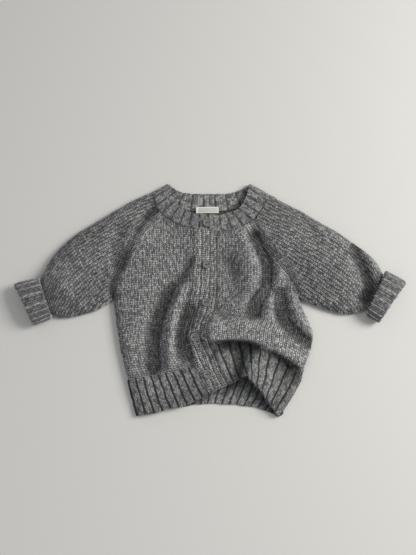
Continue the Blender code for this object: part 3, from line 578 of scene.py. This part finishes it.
def makeYarnGroup():
    # melange yarn: each leg of a stitch has its own shade and fibres fleck it; the gaps between strands are painted
    # shade, and the shade attribute adds painted shade and painted light from the lay
    tree = bpy.data.node_groups.new("melangeYarn", "ShaderNodeTree")
    socketsOf(tree, [("Light", "NodeSocketColor", (0.4, 0.4, 0.4, 1)), ("Dark", "NodeSocketColor", (0.1, 0.1, 0.1, 1)),
                     ("GapShade", "NodeSocketColor", (0.04, 0.04, 0.04, 1)), ("Fleck", "NodeSocketFloat", 1.0)],
              [("Color", "NodeSocketColor"), ("Height", "NodeSocketFloat")])
    inside, outside = tree.nodes.new("NodeGroupInput"), tree.nodes.new("NodeGroupOutput")
    place = tree.nodes.new("ShaderNodeTexCoord")
    uv = tree.nodes.new("ShaderNodeSeparateXYZ")
    tree.links.new(place.outputs["UV"], uv.inputs[0])
    wale, row = uv.outputs[0], uv.outputs[1]
    fromMiddle = mathNode(tree, "ABSOLUTE", mathNode(tree, "SUBTRACT", mathNode(tree, "FRACT", wale), 0.5))
    legRow = mathNode(tree, "FLOOR", mathNode(tree, "SUBTRACT", row, mathNode(tree, "MULTIPLY", fromMiddle,
                                                                               knit["slant"])))
    leg = tree.nodes.new("ShaderNodeCombineXYZ")
    tree.links.new(mathNode(tree, "FLOOR", mathNode(tree, "MULTIPLY", wale, 2.0)), leg.inputs[0])
    tree.links.new(legRow, leg.inputs[1])
    ownShade = tree.nodes.new("ShaderNodeTexWhiteNoise")
    ownShade.noise_dimensions = "3D"
    tree.links.new(leg.outputs[0], ownShade.inputs["Vector"])

    def noise(scale, detail, rough=0.6):
        node = tree.nodes.new("ShaderNodeTexNoise")
        node.inputs["Scale"].default_value = scale
        node.inputs["Detail"].default_value = detail
        node.inputs["Roughness"].default_value = rough
        tree.links.new(place.outputs["Object"], node.inputs["Vector"])
        return node.outputs["Fac"]

    fibres, flecks, clouds = noise(2600, 2), noise(850, 3, 0.7), noise(95, 2)
    total = mathNode(tree, "MULTIPLY", mathNode(tree, "SUBTRACT", flecks, 0.5), 1.5)
    for part, weight in ((ownShade.outputs[0], 0.85), (clouds, 0.5), (fibres, 0.8)):
        total = mathNode(tree, "ADD", total, mathNode(tree, "MULTIPLY", mathNode(tree, "SUBTRACT", part, 0.5), weight))
    shade = mathNode(tree, "ADD", mathNode(tree, "MULTIPLY", total, inside.outputs["Fleck"]), 0.5, clamp=True)
    colour = mixColour(tree, shade, inside.outputs["Dark"], inside.outputs["Light"])
    # painted shade in the gaps: where the relief is low the colour turns to the gap shade
    depth = tree.nodes.new("ShaderNodeAttribute")
    depth.attribute_name = "depth"
    gapShadeMask = tree.nodes.new("ShaderNodeMapRange")
    gapShadeMask.interpolation_type = "SMOOTHSTEP"
    gapShadeMask.inputs["From Min"].default_value = 0.02
    gapShadeMask.inputs["From Max"].default_value = 0.76
    tree.links.new(depth.outputs["Fac"], gapShadeMask.inputs["Value"])
    colour = mixColour(tree, gapShadeMask.outputs[0], inside.outputs["GapShade"], colour)
    # painted shade and painted light from the shade attribute multiply the colour
    hollow = tree.nodes.new("ShaderNodeAttribute")
    hollow.attribute_name = "shade"
    paintedShadeColour = tree.nodes.new("ShaderNodeCombineColor")
    for k in range(3):
        tree.links.new(hollow.outputs["Fac"], paintedShadeColour.inputs[k])
    colour = mixColour(tree, 1.0, colour, paintedShadeColour.outputs[0], "MULTIPLY")
    tree.links.new(colour, outside.inputs["Color"])
    strand = mathNode(tree, "SINE", mathNode(tree, "MULTIPLY", mathNode(tree, "ADD", mathNode(
        tree, "MULTIPLY", row, 3.0), mathNode(tree, "MULTIPLY", fromMiddle, 9.0)), math.tau))
    height = mathNode(tree, "ADD", mathNode(tree, "MULTIPLY", fibres, 0.7), mathNode(tree, "MULTIPLY", strand, 0.12))
    height = mathNode(tree, "ADD", height, mathNode(tree, "MULTIPLY", flecks, 0.6))
    tree.links.new(height, outside.inputs["Height"])
    return tree


yarnGroup = makeYarnGroup()
yarn = {
    "light": (0.56, 0.56, 0.545, 1.0),
    "dark": (0.15, 0.152, 0.15, 1.0),
    # gap: painted shade between the strands
    "gap": (0.024, 0.025, 0.025, 1.0),
    "roughness": 0.95,
    "sheen": 0.25,
}


def yarnMaterial(name, light, fleck, bump):
    material = bpy.data.materials.new(name)
    material.use_nodes = True
    tree = material.node_tree
    shader = tree.nodes["Principled BSDF"]
    group = tree.nodes.new("ShaderNodeGroup")
    group.node_tree = yarnGroup
    for socket, key in (("Light", "light"), ("Dark", "dark"), ("GapShade", "gap")):
        # light scales all three colours: painted light and shade for this kind of piece
        group.inputs[socket].default_value = (*[c * light for c in yarn[key][:3]], 1.0)
    group.inputs["Fleck"].default_value = fleck
    tree.links.new(group.outputs["Color"], shader.inputs["Base Color"])
    bumpNode = tree.nodes.new("ShaderNodeBump")
    bumpNode.inputs["Strength"].default_value = bump
    bumpNode.inputs["Distance"].default_value = 0.0005
    tree.links.new(group.outputs["Height"], bumpNode.inputs["Height"])
    tree.links.new(bumpNode.outputs[0], shader.inputs["Normal"])
    shader.inputs["Roughness"].default_value = yarn["roughness"]
    shader.inputs["Specular IOR Level"].default_value = 0.2
    shader.inputs["Sheen Weight"].default_value = yarn["sheen"]
    shader.inputs["Sheen Roughness"].default_value = 0.5
    return material


def plainMaterial(name, colour, roughness, noiseScale, noiseAmount, bump=0.2, shaded=False):
    material = bpy.data.materials.new(name)
    material.use_nodes = True
    tree = material.node_tree
    shader = tree.nodes["Principled BSDF"]
    place = tree.nodes.new("ShaderNodeTexCoord")
    noise = tree.nodes.new("ShaderNodeTexNoise")
    noise.inputs["Scale"].default_value = noiseScale
    noise.inputs["Detail"].default_value = 4
    tree.links.new(place.outputs["Object"], noise.inputs["Vector"])
    dark = (*[c * (1 - noiseAmount) for c in colour], 1.0)
    pale = (*[min(c * (1 + noiseAmount), 1.0) for c in colour], 1.0)
    mixed = mixColour(tree, noise.outputs["Fac"], dark, pale)
    if shaded:
        # the shade attribute multiplies the colour; on the label it holds its own tones and a painted shade line
        shade = tree.nodes.new("ShaderNodeAttribute")
        shade.attribute_name = "shade"
        mixed = mixColour(tree, 1.0, mixed, shade.outputs["Color"], "MULTIPLY")
    tree.links.new(mixed, shader.inputs["Base Color"])
    bumpNode = tree.nodes.new("ShaderNodeBump")
    bumpNode.inputs["Strength"].default_value = bump
    bumpNode.inputs["Distance"].default_value = 0.0002
    tree.links.new(noise.outputs["Fac"], bumpNode.inputs["Height"])
    tree.links.new(bumpNode.outputs[0], shader.inputs["Normal"])
    shader.inputs["Roughness"].default_value = roughness
    return material


# the same yarn is made lighter or darker for each kind of piece by its light factor: painted light and shade
stockingMaterial = yarnMaterial("stockingStitch", light=1.27, fleck=1.25, bump=0.6)
sleeveMaterial = yarnMaterial("sleeveStitch", light=0.94, fleck=1.25, bump=0.8)
ribMaterial = yarnMaterial("ribbing", light=0.82, fleck=1.35, bump=0.8)
cuffMaterial = yarnMaterial("cuffRib", light=1.0, fleck=1.3, bump=0.8)
bandMaterial = yarnMaterial("bandRib", light=1.28, fleck=1.35, bump=0.7)
buttonMaterial = plainMaterial("button", (0.2, 0.194, 0.182), 0.5, 420, 0.45)
threadMaterial = plainMaterial("buttonThread", (0.12, 0.12, 0.12), 0.8, 1500, 0.4)
labelMaterial = plainMaterial("labelTape", (0.84, 0.82, 0.75), 0.75, 1400, 0.14, bump=0.5, shaded=True)
print("materials:", len(bpy.data.materials))

seams = {"gap": 0.12, "lap": 0.3, "sleeveLap": 0.35}   # how far two pieces stand apart or lie over each other
fronts = {
    # turn is 1 where the panel's rows run to the right side; top ends the seam and the side above the panel
    "right": {"wales": 24, "rows": 76, "ribWales": 27, "ribRows": 16, "turn": 1, "layer": "raised",
              "seam": "bandSeam", "top": [(-19, 94.6), (-125, 94.6)]},
    "left": {"wales": 28, "rows": 70, "ribWales": 29, "ribRows": 17, "turn": -1, "layer": "upper",
             "seam": "bandEdge", "top": [(11, 76.6), (124, 76.6)]},
    "strip": 3.0,            # wales that run along each raglan
    "stripWidth": 12.0,      # their width in mm
    "stripTaper": 45.0,      # how far from the underarm they reach that width
    "seamBend": 0.45,        # the share of a panel over which its curved first row straightens
    "ribRelief": 2.2,
    "ribWall": 2.2,
}


def cutLine(curve, start, end):
    return along(curve, np.linspace(start, end, 60))


def shareAt(curve, point):
    fine = along(curve, np.linspace(0, 1, 3000))
    return float(np.argmin(np.linalg.norm(fine - np.array(point, float), axis=1)) / 2999)


def extended(curve):
    run = curve[-1] - curve[-3]
    return np.vstack([curve, curve[-1] + run / np.linalg.norm(run) * 12.0])


def straightOn(curve, point):
    return np.vstack([curve, [point]])


def stripLine(raglan, distance):
    # a line beside a raglan seam, which starts at the seam's own end by the underarm
    run = np.gradient(raglan, axis=0)
    run /= np.linalg.norm(run, axis=1)[:, None]
    gone = np.clip(lineShares(raglan) * lineLength(raglan) / fronts["stripTaper"], 0, 1)
    return raglan + (distance * gone * gone * (3 - 2 * gone))[:, None] * np.stack([-run[:, 1], run[:, 0]], axis=1)


def stripPatch(name, raglan, side, layer):
    # the wales beside a raglan seam; side is 1 where they lie on the line's left
    width = fronts["stripWidth"]
    rows = int(lineLength(raglan) / knit["course"])
    inner, outer = stripLine(raglan, side * width), shifted(raglan, side * seams["gap"])
    place = panelPlan(outer, inner, fronts["strip"], rows)
    return knitPatch(name, place, fronts["strip"], rows, layer)


def makeFront(wearers, spec):
    turn, layer = spec["turn"], spec["layer"]
    seam, side, raglan, neck, hem, ribTop = (
        line[name] for name in (spec["seam"], *(wearers + end for end in ("Side", "Raglan", "Neck", "Hem", "RibTop"))))
    topPoints = outline[wearers + "RibTop"][::-turn]      # from the seam to the side
    seamShare, sideShare = shareAt(seam, topPoints[0]), shareAt(side, topPoints[-1])
    anchor = straightOn(cutLine(seam, seamShare, 1), spec["top"][0])
    far = straightOn(cutLine(side, sideShare, 1), spec["top"][1])
    place = panelPlan(shifted(anchor, turn * seams["gap"]), far, spec["wales"], spec["rows"],
                      high=extended(stripLine(raglan, -turn * (fronts["stripWidth"] - seams["lap"]))),
                      low=shifted(neck, -turn * seams["lap"]), farEdge=topEdge)
    place = bentRows(place, ribTop[::-turn], spec["wales"], spec["rows"])
    meshes = [knitPatch("a", place, spec["wales"], spec["rows"], layer), stripPatch("b", raglan, -turn, layer)]
    addPiece(wearers + "Front", joinMeshes(wearers + "Front", meshes), stockingMaterial,
             [wearers + "_front_panel"], knit["wall"])
    place = panelPlan(shifted(cutLine(seam, 0, seamShare), turn * seams["gap"]), cutLine(side, 0, sideShare),
                      spec["ribWales"], spec["ribRows"])
    mesh = knitPatch(wearers + "Hem", ribPlace(place, hem, ribTop, spec, -turn), spec["ribWales"], spec["ribRows"],
                     layer, relief=ribRelief, reliefHeight=fronts["ribRelief"])
    addPiece(wearers + "HemRib", mesh, ribMaterial, [wearers + "_front_hem_rib"], fronts["ribWall"])


def ribPlace(place, hem, top, spec, side):
    # a rib panel between the hem line and the line where it meets the stocking stitch
    hemLine, topLine = (hem, top) if side > 0 else (hem[::-1], top[::-1])
    wales, rows = spec["ribWales"], spec["ribRows"]
    ends = np.array([0.0, rows])
    first, last = place(np.zeros(2), ends)[0], place(np.full(2, float(wales)), ends)[0]

    def both(s, t):
        a, b = np.clip(s / wales, 0, 1)[:, None], np.clip(t / rows, 0, 1)[:, None]
        left, right = place(np.zeros(len(s)), t)[0], place(np.full(len(s), float(wales)), t)[0]
        low, high = along(hemLine, a[:, 0]), along(topLine, a[:, 0])
        corners = (1 - a) * (1 - b) * first[0] + a * (1 - b) * last[0] + (1 - a) * b * first[1] + a * b * last[1]
        return (1 - b) * low + b * high + (1 - a) * left + a * right - corners, s

    return both


def bentRows(place, lowLine, wales, rows):
    # the first rows follow a curved seam, and the bend dies away up the panel
    def both(s, t):
        plan, kept = place(s, t)
        a = np.clip(kept / wales, 0, 1)
        straight = place(kept, np.zeros(len(s)))[0]
        bend = along(lowLine, a) - straight
        share = np.clip(1 - t / rows / fronts["seamBend"], 0, 1)
        return plan + bend * (share * share * (3 - 2 * share))[:, None], kept

    return both


def surfacePatch(name, surface, wales, rows, relief, height, outward, seenFrom=None):
    # a grid of stitches on any surface given as a function of wale and row
    mesh, i, j = gridMesh(name, int(round(wales * knit["columns"])), int(round(rows * knit["rows"])))
    s, t = i / knit["columns"], j / knit["rows"]

    def base(s, t):
        return surface(ribSpread(s), t)

    step = 0.05
    before, after = base(s, np.clip(t - step, 0, rows)), base(s, np.clip(t + step, 0, rows))
    left, right = base(s - step, t), base(s + step, t)
    normal = np.cross(right - left, after - before)
    normal /= np.maximum(np.linalg.norm(normal, axis=1), 1e-9)[:, None]
    points = base(s, t)
    if (normal * outward(points)).sum() < 0:
        normal = -normal
    depth = relief(s, t)
    if seenFrom is not None:
        height = height * seenFrom(ribSpread(s))
    points = points + normal * (height * (depth - 0.6))[:, None]
    setMesh(mesh, points, s, t, depth, normal, np.ones(len(s)))
    return mesh


for wearers in ("right", "left"):
    makeFront(wearers, fronts[wearers])
print("fronts made")

sleeves = {
    "wale": 4.7,
    "wales": 29,             # in each layer
    "underRows": 9,          # rows that the lower layer has more
    "columns": 5,
    "relief": 2.1,
    "right": {"shoulder": "rightShoulder", "underarm": "rightUnderarm", "side": 1,
              "underarmOn": [(-95, -24), (-55, -8), (-11, 12)],
              "backShoulderOn": [(-56, 136)], "backUnderarmOn": [(-95, -24), (-55, -8), (-11, 12), (8, 26)],
              "raglan": "rightRaglan", "neck": "rightSleeveNeck", "backRaglan": "rightBackRaglan",
              "backNeck": "rightBackNeck", "rows": 60},
    "left": {"shoulder": "leftShoulder", "underarm": "leftUnderarm", "side": -1,
             "underarmOn": [(92, -22), (52, -6), (8, 16)],
             "backShoulderOn": [(57, 137)], "backUnderarmOn": [(92, -22), (52, -6), (8, 16), (-10, 30)],
             "raglan": "leftRaglan", "neck": "leftSleeveNeck", "backRaglan": "leftBackRaglan",
             "backNeck": "leftBackNeck", "rows": 60},
}


def makeSleeve(name, spec, nodes):
    side, strip = spec["side"], fronts["stripWidth"]
    shoulder, underarm = line[spec["shoulder"]], line[spec["underarm"]]
    raglan = line[spec["raglan"]]
    far = smoothLine([*outline[spec["underarm"]], *spec["underarmOn"]])
    lap, wales = side * seams["sleeveLap"], sleeves["wales"]
    end = extended(np.vstack([underarm, stripLine(raglan, side * (strip - seams["lap"])),
                              shifted(line[spec["neck"]], lap)]))
    place = panelPlan(shoulder, far, wales, spec["rows"], high=end, perWale=sleeves["wale"], nearEdge=topEdge)
    meshes = [knitPatch("a", place, wales, spec["rows"], "upper", reliefHeight=sleeves["relief"],
                        columns=sleeves["columns"], kind=sleeveStitch),
              stripPatch("b", raglan, side, "upper")]
    anchor = smoothLine([*outline[spec["shoulder"]], *spec["backShoulderOn"]])
    far = smoothLine([*outline[spec["underarm"]], *spec["backUnderarmOn"]])
    end = extended(np.vstack([underarm, shifted(line[spec["backRaglan"]], lap)]))
    rows = spec["rows"] + sleeves["underRows"]
    place = panelPlan(anchor, far, wales, rows, high=end, low=shifted(line[spec["backNeck"]], lap),
                      perWale=sleeves["wale"], nearEdge=underEdge)
    meshes.append(knitPatch("c", place, wales, rows, "lower", columns=2, perRow=1))
    addPiece(name, joinMeshes(name, meshes), sleeveMaterial, nodes, knit["wall"])


makeSleeve("rightSleeve", sleeves["right"], ["right_sleeve"])
makeSleeve("leftSleeve", sleeves["left"], ["left_sleeve"])
print("sleeves made")

back = {"wales": 56, "rows": 72, "ribWales": 60, "ribRows": 15, "ribRelief": -1.8, "ribWall": 2.2}


def makeBack():
    rightShare = shareAt(line["rightSide"], outline["backRibTop"][0])
    leftShare = shareAt(line["leftSide"], outline["backRibTop"][-1])
    right = straightOn(cutLine(line["rightSide"], rightShare, 1), (-125, 108))
    left = straightOn(cutLine(line["leftSide"], leftShare, 1), (123, 108))
    # the left half and the right half of the back meet on its middle wale
    middle = np.array([(8.0, -130.0), (0.0, 108.0)])
    meshes = []
    for far, raglan, side, name in ((right, "rightBackRaglan", -1, "a"), (left, "leftBackRaglan", 1, "b")):
        neck = line["backNeck"]
        neckHalf = neck[neck[:, 0] <= 1.0] if side < 0 else neck[neck[:, 0] >= -1.0]
        place = panelPlan(middle, far, back["wales"] / 2, back["rows"],
                          high=extended(shifted(line[raglan], side * seams["sleeveLap"])), low=neckHalf - (0, 0.4),
                          farEdge=underEdge)
        meshes.append(knitPatch(name, place, back["wales"] / 2, back["rows"], "lower", columns=2, perRow=2))
    addPiece("back", joinMeshes("back", meshes), stockingMaterial, ["back_panel"], knit["wall"])
    place = panelPlan(cutLine(line["rightSide"], 0, rightShare), cutLine(line["leftSide"], 0, leftShare),
                      back["ribWales"], back["ribRows"])
    mesh = knitPatch("backHem", ribPlace(place, line["backHem"], line["backRibTop"], back, 1), back["ribWales"],
                     back["ribRows"], "lower", relief=ribRelief, reliefHeight=back["ribRelief"], perRow=2)
    addPiece("backHemRib", mesh, ribMaterial, ["back_hem_rib"], back["ribWall"])


makeBack()
print("back made")

cuffs = {
    "right": {"shoulderIn": (-223, -4), "shoulderOut": (-256, -13), "underIn": (-202, -59),
              "underOut": (-226.5, -69.5)},
    "left": {"shoulderIn": (235.5, 6), "shoulderOut": (262, -11), "underIn": (204.5, -53.5),
             "underOut": (222, -66)},
    "height": 21.0,
    "centre": 0.46,
    "wales": 54,
    "layer": 2.8,
    "tuck": 0.6,
    "relief": 2.0,
}


def cuffPoint(corner, out, inset, angle):
    key = {name: np.array(value, float) for name, value in corner.items()}
    high = key["shoulderIn"] + out[:, None] * (key["shoulderOut"] - key["shoulderIn"])
    low = key["underIn"] + out[:, None] * (key["underOut"] - key["underIn"])
    centre, half = (high + low) / 2, (high - low) / 2
    width = np.linalg.norm(half, axis=1)
    c, s = np.cos(angle), np.sin(angle)
    flat = centre + (np.sign(c) * np.abs(c) ** 0.8 * (1 - inset / width))[:, None] * half
    middle, radius = cuffs["centre"] * cuffs["height"], (1 - cuffs["centre"]) * cuffs["height"]
    z = np.maximum(middle + (radius - inset) * np.sign(s) * np.abs(s) ** 0.85, np.maximum(inset, 0.9))
    return np.column_stack([flat, z])


def makeCuff(name, corner, nodes):
    reach = float(np.linalg.norm(np.subtract(corner["shoulderOut"], corner["shoulderIn"])))
    both = 2 * cuffs["layer"] + cuffs["tuck"]
    section = smoothLine([(1.0, 4.6), (0.4, 2.6), (1.2, 0.7), (3.5, 0), (reach * 0.5, -0.6), (reach - 3.4, 0),
                          (reach - 0.9, both * 0.2), (reach - 0.2, both * 0.5), (reach - 0.9, both * 0.8),
                          (reach - 3.4, both), (reach * 0.5, both), (3.0, both), (1.0, 5.4)], 6)
    rows = lineLength(section) / knit["course"]

    def base(s, t):
        spot = along(section, np.clip(t / rows, 0, 1))
        return cuffPoint(corner, spot[:, 0] / reach, spot[:, 1], np.pi - s / cuffs["wales"] * 2 * np.pi)

    def outward(points):
        return points - points.mean(axis=0)

    mesh = surfacePatch(name, base, cuffs["wales"], rows, cuffRelief, cuffs["relief"], outward)
    addPiece(name, mesh, cuffMaterial, nodes)


makeCuff("rightCuff", cuffs["right"], ["right_cuff"])
makeCuff("leftCuff", cuffs["left"], ["left_cuff"])
print("cuffs made")

neckband = {
    "rib": 4.25,           # width of one wale
    "backStretch": 1.32,
    "wall": 2.4,
    "rows": 9,
    "relief": 1.9,
    # seam x, seam y, edge x, edge y, turn from facing up to facing down, height, lift of the overlap
    "course": [
        (11, 63, 12, 87, 0, 0.0, 3.1), (-4, 64, -4, 87, 0, 0.0, 3.1), (-19, 67, -18, 88, 0, 0.0, 3.1),
        (-32, 71, -27, 91, 0, 0.0, 1.8), (-46, 77, -36, 97, 0, 0.5, 0.6), (-58, 86, -43, 104, 0, 1.0, 0.0),
        (-67, 95, -48, 112, 0, 1.0, 0.0), (-72, 105, -51, 121, 10, 1.0, 0.0), (-75, 116, -53, 130, 35, 0.0, 0.0),
        (-77, 124, -54, 136, 90, 4.5, 0.0), (-73, 122, -51, 133, 150, 1.0, 0.0), (-64, 115, -45, 129, 180, 0.0, 0.0),
        (-50, 106, -38, 125, 180, 0.0, 0.0), (-34, 99, -29, 123, 180, 0.0, 0.0), (-17, 96, -15, 122, 180, 0.0, 0.0),
        (0, 95, 0, 122, 180, 0.0, 0.0), (17, 96, 15, 122, 180, 0.0, 0.0), (34, 99, 30, 123, 180, 0.0, 0.0),
        (50, 106, 40, 126, 180, 0.0, 0.0), (65, 116, 49, 130, 180, 0.0, 0.0), (74, 123, 56, 134, 150, 1.0, 0.0),
        (78, 125, 58, 137, 90, 4.5, 0.0), (77, 116, 56, 130, 35, 0.0, 0.0), (75, 105, 54, 120, 10, 1.0, 0.0),
        (71, 94, 50, 109, 0, 1.0, 0.0), (64, 85, 45, 100, 0, 1.0, 0.0), (54, 77, 38, 94, 0, 0.5, 0.0),
        (41, 70, 29, 91, 0, 0.0, 0.0), (26, 65, 20, 88, 0, 0.0, 0.0), (11, 63, 12, 86, 0, 0.0, 0.0),
        (-4, 64, -4, 86, 0, 0.0, 0.0), (-17, 67, -17, 86, 0, 0.0, 0.0),
    ],
}


def makeNeckband():
    course = np.array(neckband["course"], float)
    turn = np.radians(course[:, 4])
    bands = []
    for share in np.linspace(0, 1, 9):
        plan = course[:, :2] + share * (course[:, 2:4] - course[:, :2])
        upward = (1 + np.cos(turn)) / 2
        field = np.maximum(readMap("height", plan), lay["lowestFold"])
        z = np.where(turn < 1.5, field * upward + lay["sideHeight"] * (1 - upward), 0.8) + course[:, 5] + course[:, 6]
        bands.append(smoothLine(np.column_stack([plan, z]), 6))
    bands = np.array(bands)                                   # share, place along, xyz
    middleLine = bands[4]
    # the back's ribs are stretched wider than the front's, and are seen from their other side
    turned = smoothLine(np.column_stack([turn, turn]), 6)[:, 0]
    wide = 1 + (neckband["backStretch"] - 1) * (1 - np.cos(turned[:-1])) / 2
    steps = np.concatenate([[0], np.cumsum(np.linalg.norm(np.diff(middleLine, axis=0), axis=1) / wide)])
    wales = int(round(steps[-1] / neckband["rib"] / 3) * 3 + 2)

    def base(s, t):
        at = np.interp(np.clip(s / wales, 0, 1) * steps[-1], steps, np.arange(len(steps)))
        low = np.clip(np.floor(at).astype(int), 0, len(steps) - 2)
        f = (at - low)[:, None]
        across = np.clip(t / neckband["rows"], 0, 1) * (len(bands) - 1)
        row = np.clip(np.floor(across).astype(int), 0, len(bands) - 2)
        g = (across - row)[:, None]
        return ((1 - g) * ((1 - f) * bands[row, low] + f * bands[row, low + 1])
                + g * ((1 - f) * bands[row + 1, low] + f * bands[row + 1, low + 1]))

    def seenFrom(s):
        at = np.interp(np.clip(s / wales, 0, 1) * steps[-1], steps, np.arange(len(steps)))
        return np.cos(np.interp(at, np.arange(len(turned)), turned))

    def outward(points):
        # the first stretch of the band faces up
        up = np.zeros_like(points)
        up[:, 2] = np.where(points[:, 1] < 90, 1.0, 0.0)
        return up

    mesh = surfacePatch("neckband", base, wales, neckband["rows"], neckRelief, neckband["relief"], outward,
                        seenFrom=seenFrom)
    addPiece("neckRib", mesh, ribMaterial, ["neckband"], neckband["wall"])


makeNeckband()
print("neckband made")

bands = {"wales": 8, "rows": 74, "wall": 2.2, "edge": 2.6, "relief": 1.7}


def makeBand(name, layer, lift, sink, nodes):
    seam, edge = shifted(line["bandSeam"], -seams["gap"]), shifted(line["bandEdge"], seams["gap"])
    place = panelPlan(seam, edge, bands["wales"], bands["rows"])

    def rounded(s, t):
        near = np.clip(1 - (bands["wales"] - s) / 0.7, 0, 1)
        return bands["edge"] * (1 - np.sqrt(1 - near**2))

    mesh = knitPatch(name, place, bands["wales"], bands["rows"], layer, relief=bandRelief, lift=lift, sink=sink,
                     reliefHeight=bands["relief"], edgeRound=rounded)
    addPiece(name, mesh, bandMaterial, nodes, bands["wall"])


makeBand("buttonholeBand", "upper", lay["bandLift"], 0.2, ["buttonhole_band"])
makeBand("buttonBand", "upper", 0.0, 0.8, ["button_band"])
print("bands made")

buttons = {"count": 5, "strand": (2.3, 0.42, 0.5), "apart": 0.42, "sunk": 0.55}
label = {"middle": (-1.0, 96.8), "size": (31.0, 9.4), "height": 4.9, "wall": 0.45, "turned": 3.0}


def makeThread():
    bm = bmesh.new()
    for k in range(1, buttons["count"] + 1):
        low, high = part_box(f"button_{k}")
        top = Vector(((low.x + high.x) / 2, (low.y + high.y) / 2, high.z - buttons["sunk"] * mm))
        for side in (-1, 1):
            place = Matrix.Translation(top + Vector((0, side * buttons["apart"] * mm, 0)))
            size = Matrix.Diagonal((*[v * mm for v in buttons["strand"]], 1.0))
            bmesh.ops.create_uvsphere(bm, u_segments=16, v_segments=8, radius=1.0, matrix=place @ size)
    mesh = bpy.data.meshes.new("buttonThread")
    bm.to_mesh(mesh)
    bm.free()
    mesh.materials.append(threadMaterial)
    mesh.shade_smooth()
    piece = bpy.data.objects.new("buttonThread", mesh)
    bpy.context.scene.collection.objects.link(piece)
    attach(piece, "root")


def makeLabel():
    columns, rows = 62, 18
    mesh, i, j = gridMesh("neckLabel", columns, rows)
    x, y = (i / columns - 0.5) * label["size"][0], (j / rows - 0.5) * label["size"][1]
    fromEnd = x + label["size"][0] / 2
    z = label["height"] + 0.5 * np.cos(np.pi * x / label["size"][0])
    z += 0.5 * np.clip((label["turned"] - fromEnd) / 0.5, 0, 1) + 0.25 * np.cos(2 * np.pi * y / label["size"][1])
    points = np.column_stack([label["middle"][0] + x, label["middle"][1] + y + 0.012 * x, z])
    up = np.tile([0.0, 0.0, 1.0], (len(x), 1))
    fromRim = np.minimum(np.minimum(fromEnd, label["size"][0] - fromEnd), label["size"][1] / 2 - np.abs(y))
    # the label's middle is its own darker tone; the dark line along the fold is painted shade, and the turned end is
    # made a little lighter
    shade = np.where(fromRim < 1.3, 1.0, 0.72) * np.where(np.abs(fromEnd - label["turned"]) < 0.5, 0.55, 1.0)
    shade = np.where(fromEnd < label["turned"] - 0.5, 1.05, shade)
    setMesh(mesh, points, x, y, np.ones(len(x)), up, shade)
    addPiece("neckLabel", mesh, labelMaterial, ["neck_label"], label["wall"])


for k in range(1, buttons["count"] + 1):
    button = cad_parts[f"button_{k}"]
    button.data.materials.clear()
    button.data.materials.append(buttonMaterial)
makeThread()
makeLabel()
print("buttons, thread and label made")

studio = {
    "floor": (0.705, 0.688, 0.648),
    "sky": (0.93, 0.96, 1.0, 1),
    "skyStrength": 0.34,
    # name, place, size, power, tint
    "lamps": [("window", (1.5, 0.3, 1.1), 0.9, 32.0, (1.0, 0.985, 0.96)),
              ("fill", (-0.3, -0.9, 1.2), 1.4, 3.0, (0.95, 0.97, 1.0))],
    "cameraTurn": 70.0,        # degrees above the floor
    "cameraDistance": 1.03,
    "lens": 50.0,
}


def makeStage():
    bm = bmesh.new()
    bmesh.ops.create_grid(bm, x_segments=2, y_segments=2, size=2.0)
    mesh = bpy.data.meshes.new("floor")
    bm.to_mesh(mesh)
    bm.free()
    mesh.materials.append(plainMaterial("floorPaint", studio["floor"], 0.8, 520, 0.05, bump=0.35))
    floor = bpy.data.objects.new("floor", mesh)
    bpy.context.scene.collection.objects.link(floor)
    world = bpy.data.worlds.new("studioLight")
    bpy.context.scene.world = world
    world.use_nodes = True
    background = world.node_tree.nodes["Background"]
    background.inputs[0].default_value = studio["sky"]
    background.inputs[1].default_value = studio["skyStrength"]
    for name, at, size, power, tint in studio["lamps"]:
        lamp = bpy.data.lights.new(name, "AREA")
        lamp.shape = "SQUARE"
        lamp.size, lamp.energy, lamp.color = size, power, tint
        obj = bpy.data.objects.new(name, lamp)
        bpy.context.scene.collection.objects.link(obj)
        obj.location = at
        obj.rotation_euler = (-Vector(at)).to_track_quat("-Z", "Y").to_euler()


def makeCamera():
    target = Vector((-lay["middle"][0] * mm, -lay["middle"][1] * mm, 0))
    up = math.radians(studio["cameraTurn"])
    camera = bpy.data.cameras.new("camera")
    camera.lens, camera.sensor_width, camera.sensor_fit = studio["lens"], 36.0, "AUTO"
    camera.dof.use_dof = False
    camera.clip_start = 0.05
    obj = bpy.data.objects.new("camera", camera)
    bpy.context.scene.collection.objects.link(obj)
    obj.location = target + studio["cameraDistance"] * Vector((0, -math.cos(up), math.sin(up)))
    obj.rotation_euler = (math.pi / 2 - up, 0, 0)
    bpy.context.scene.camera = obj


makeStage()
makeCamera()
bpy.context.scene.view_settings.view_transform = "Standard"
print("stage and camera set")
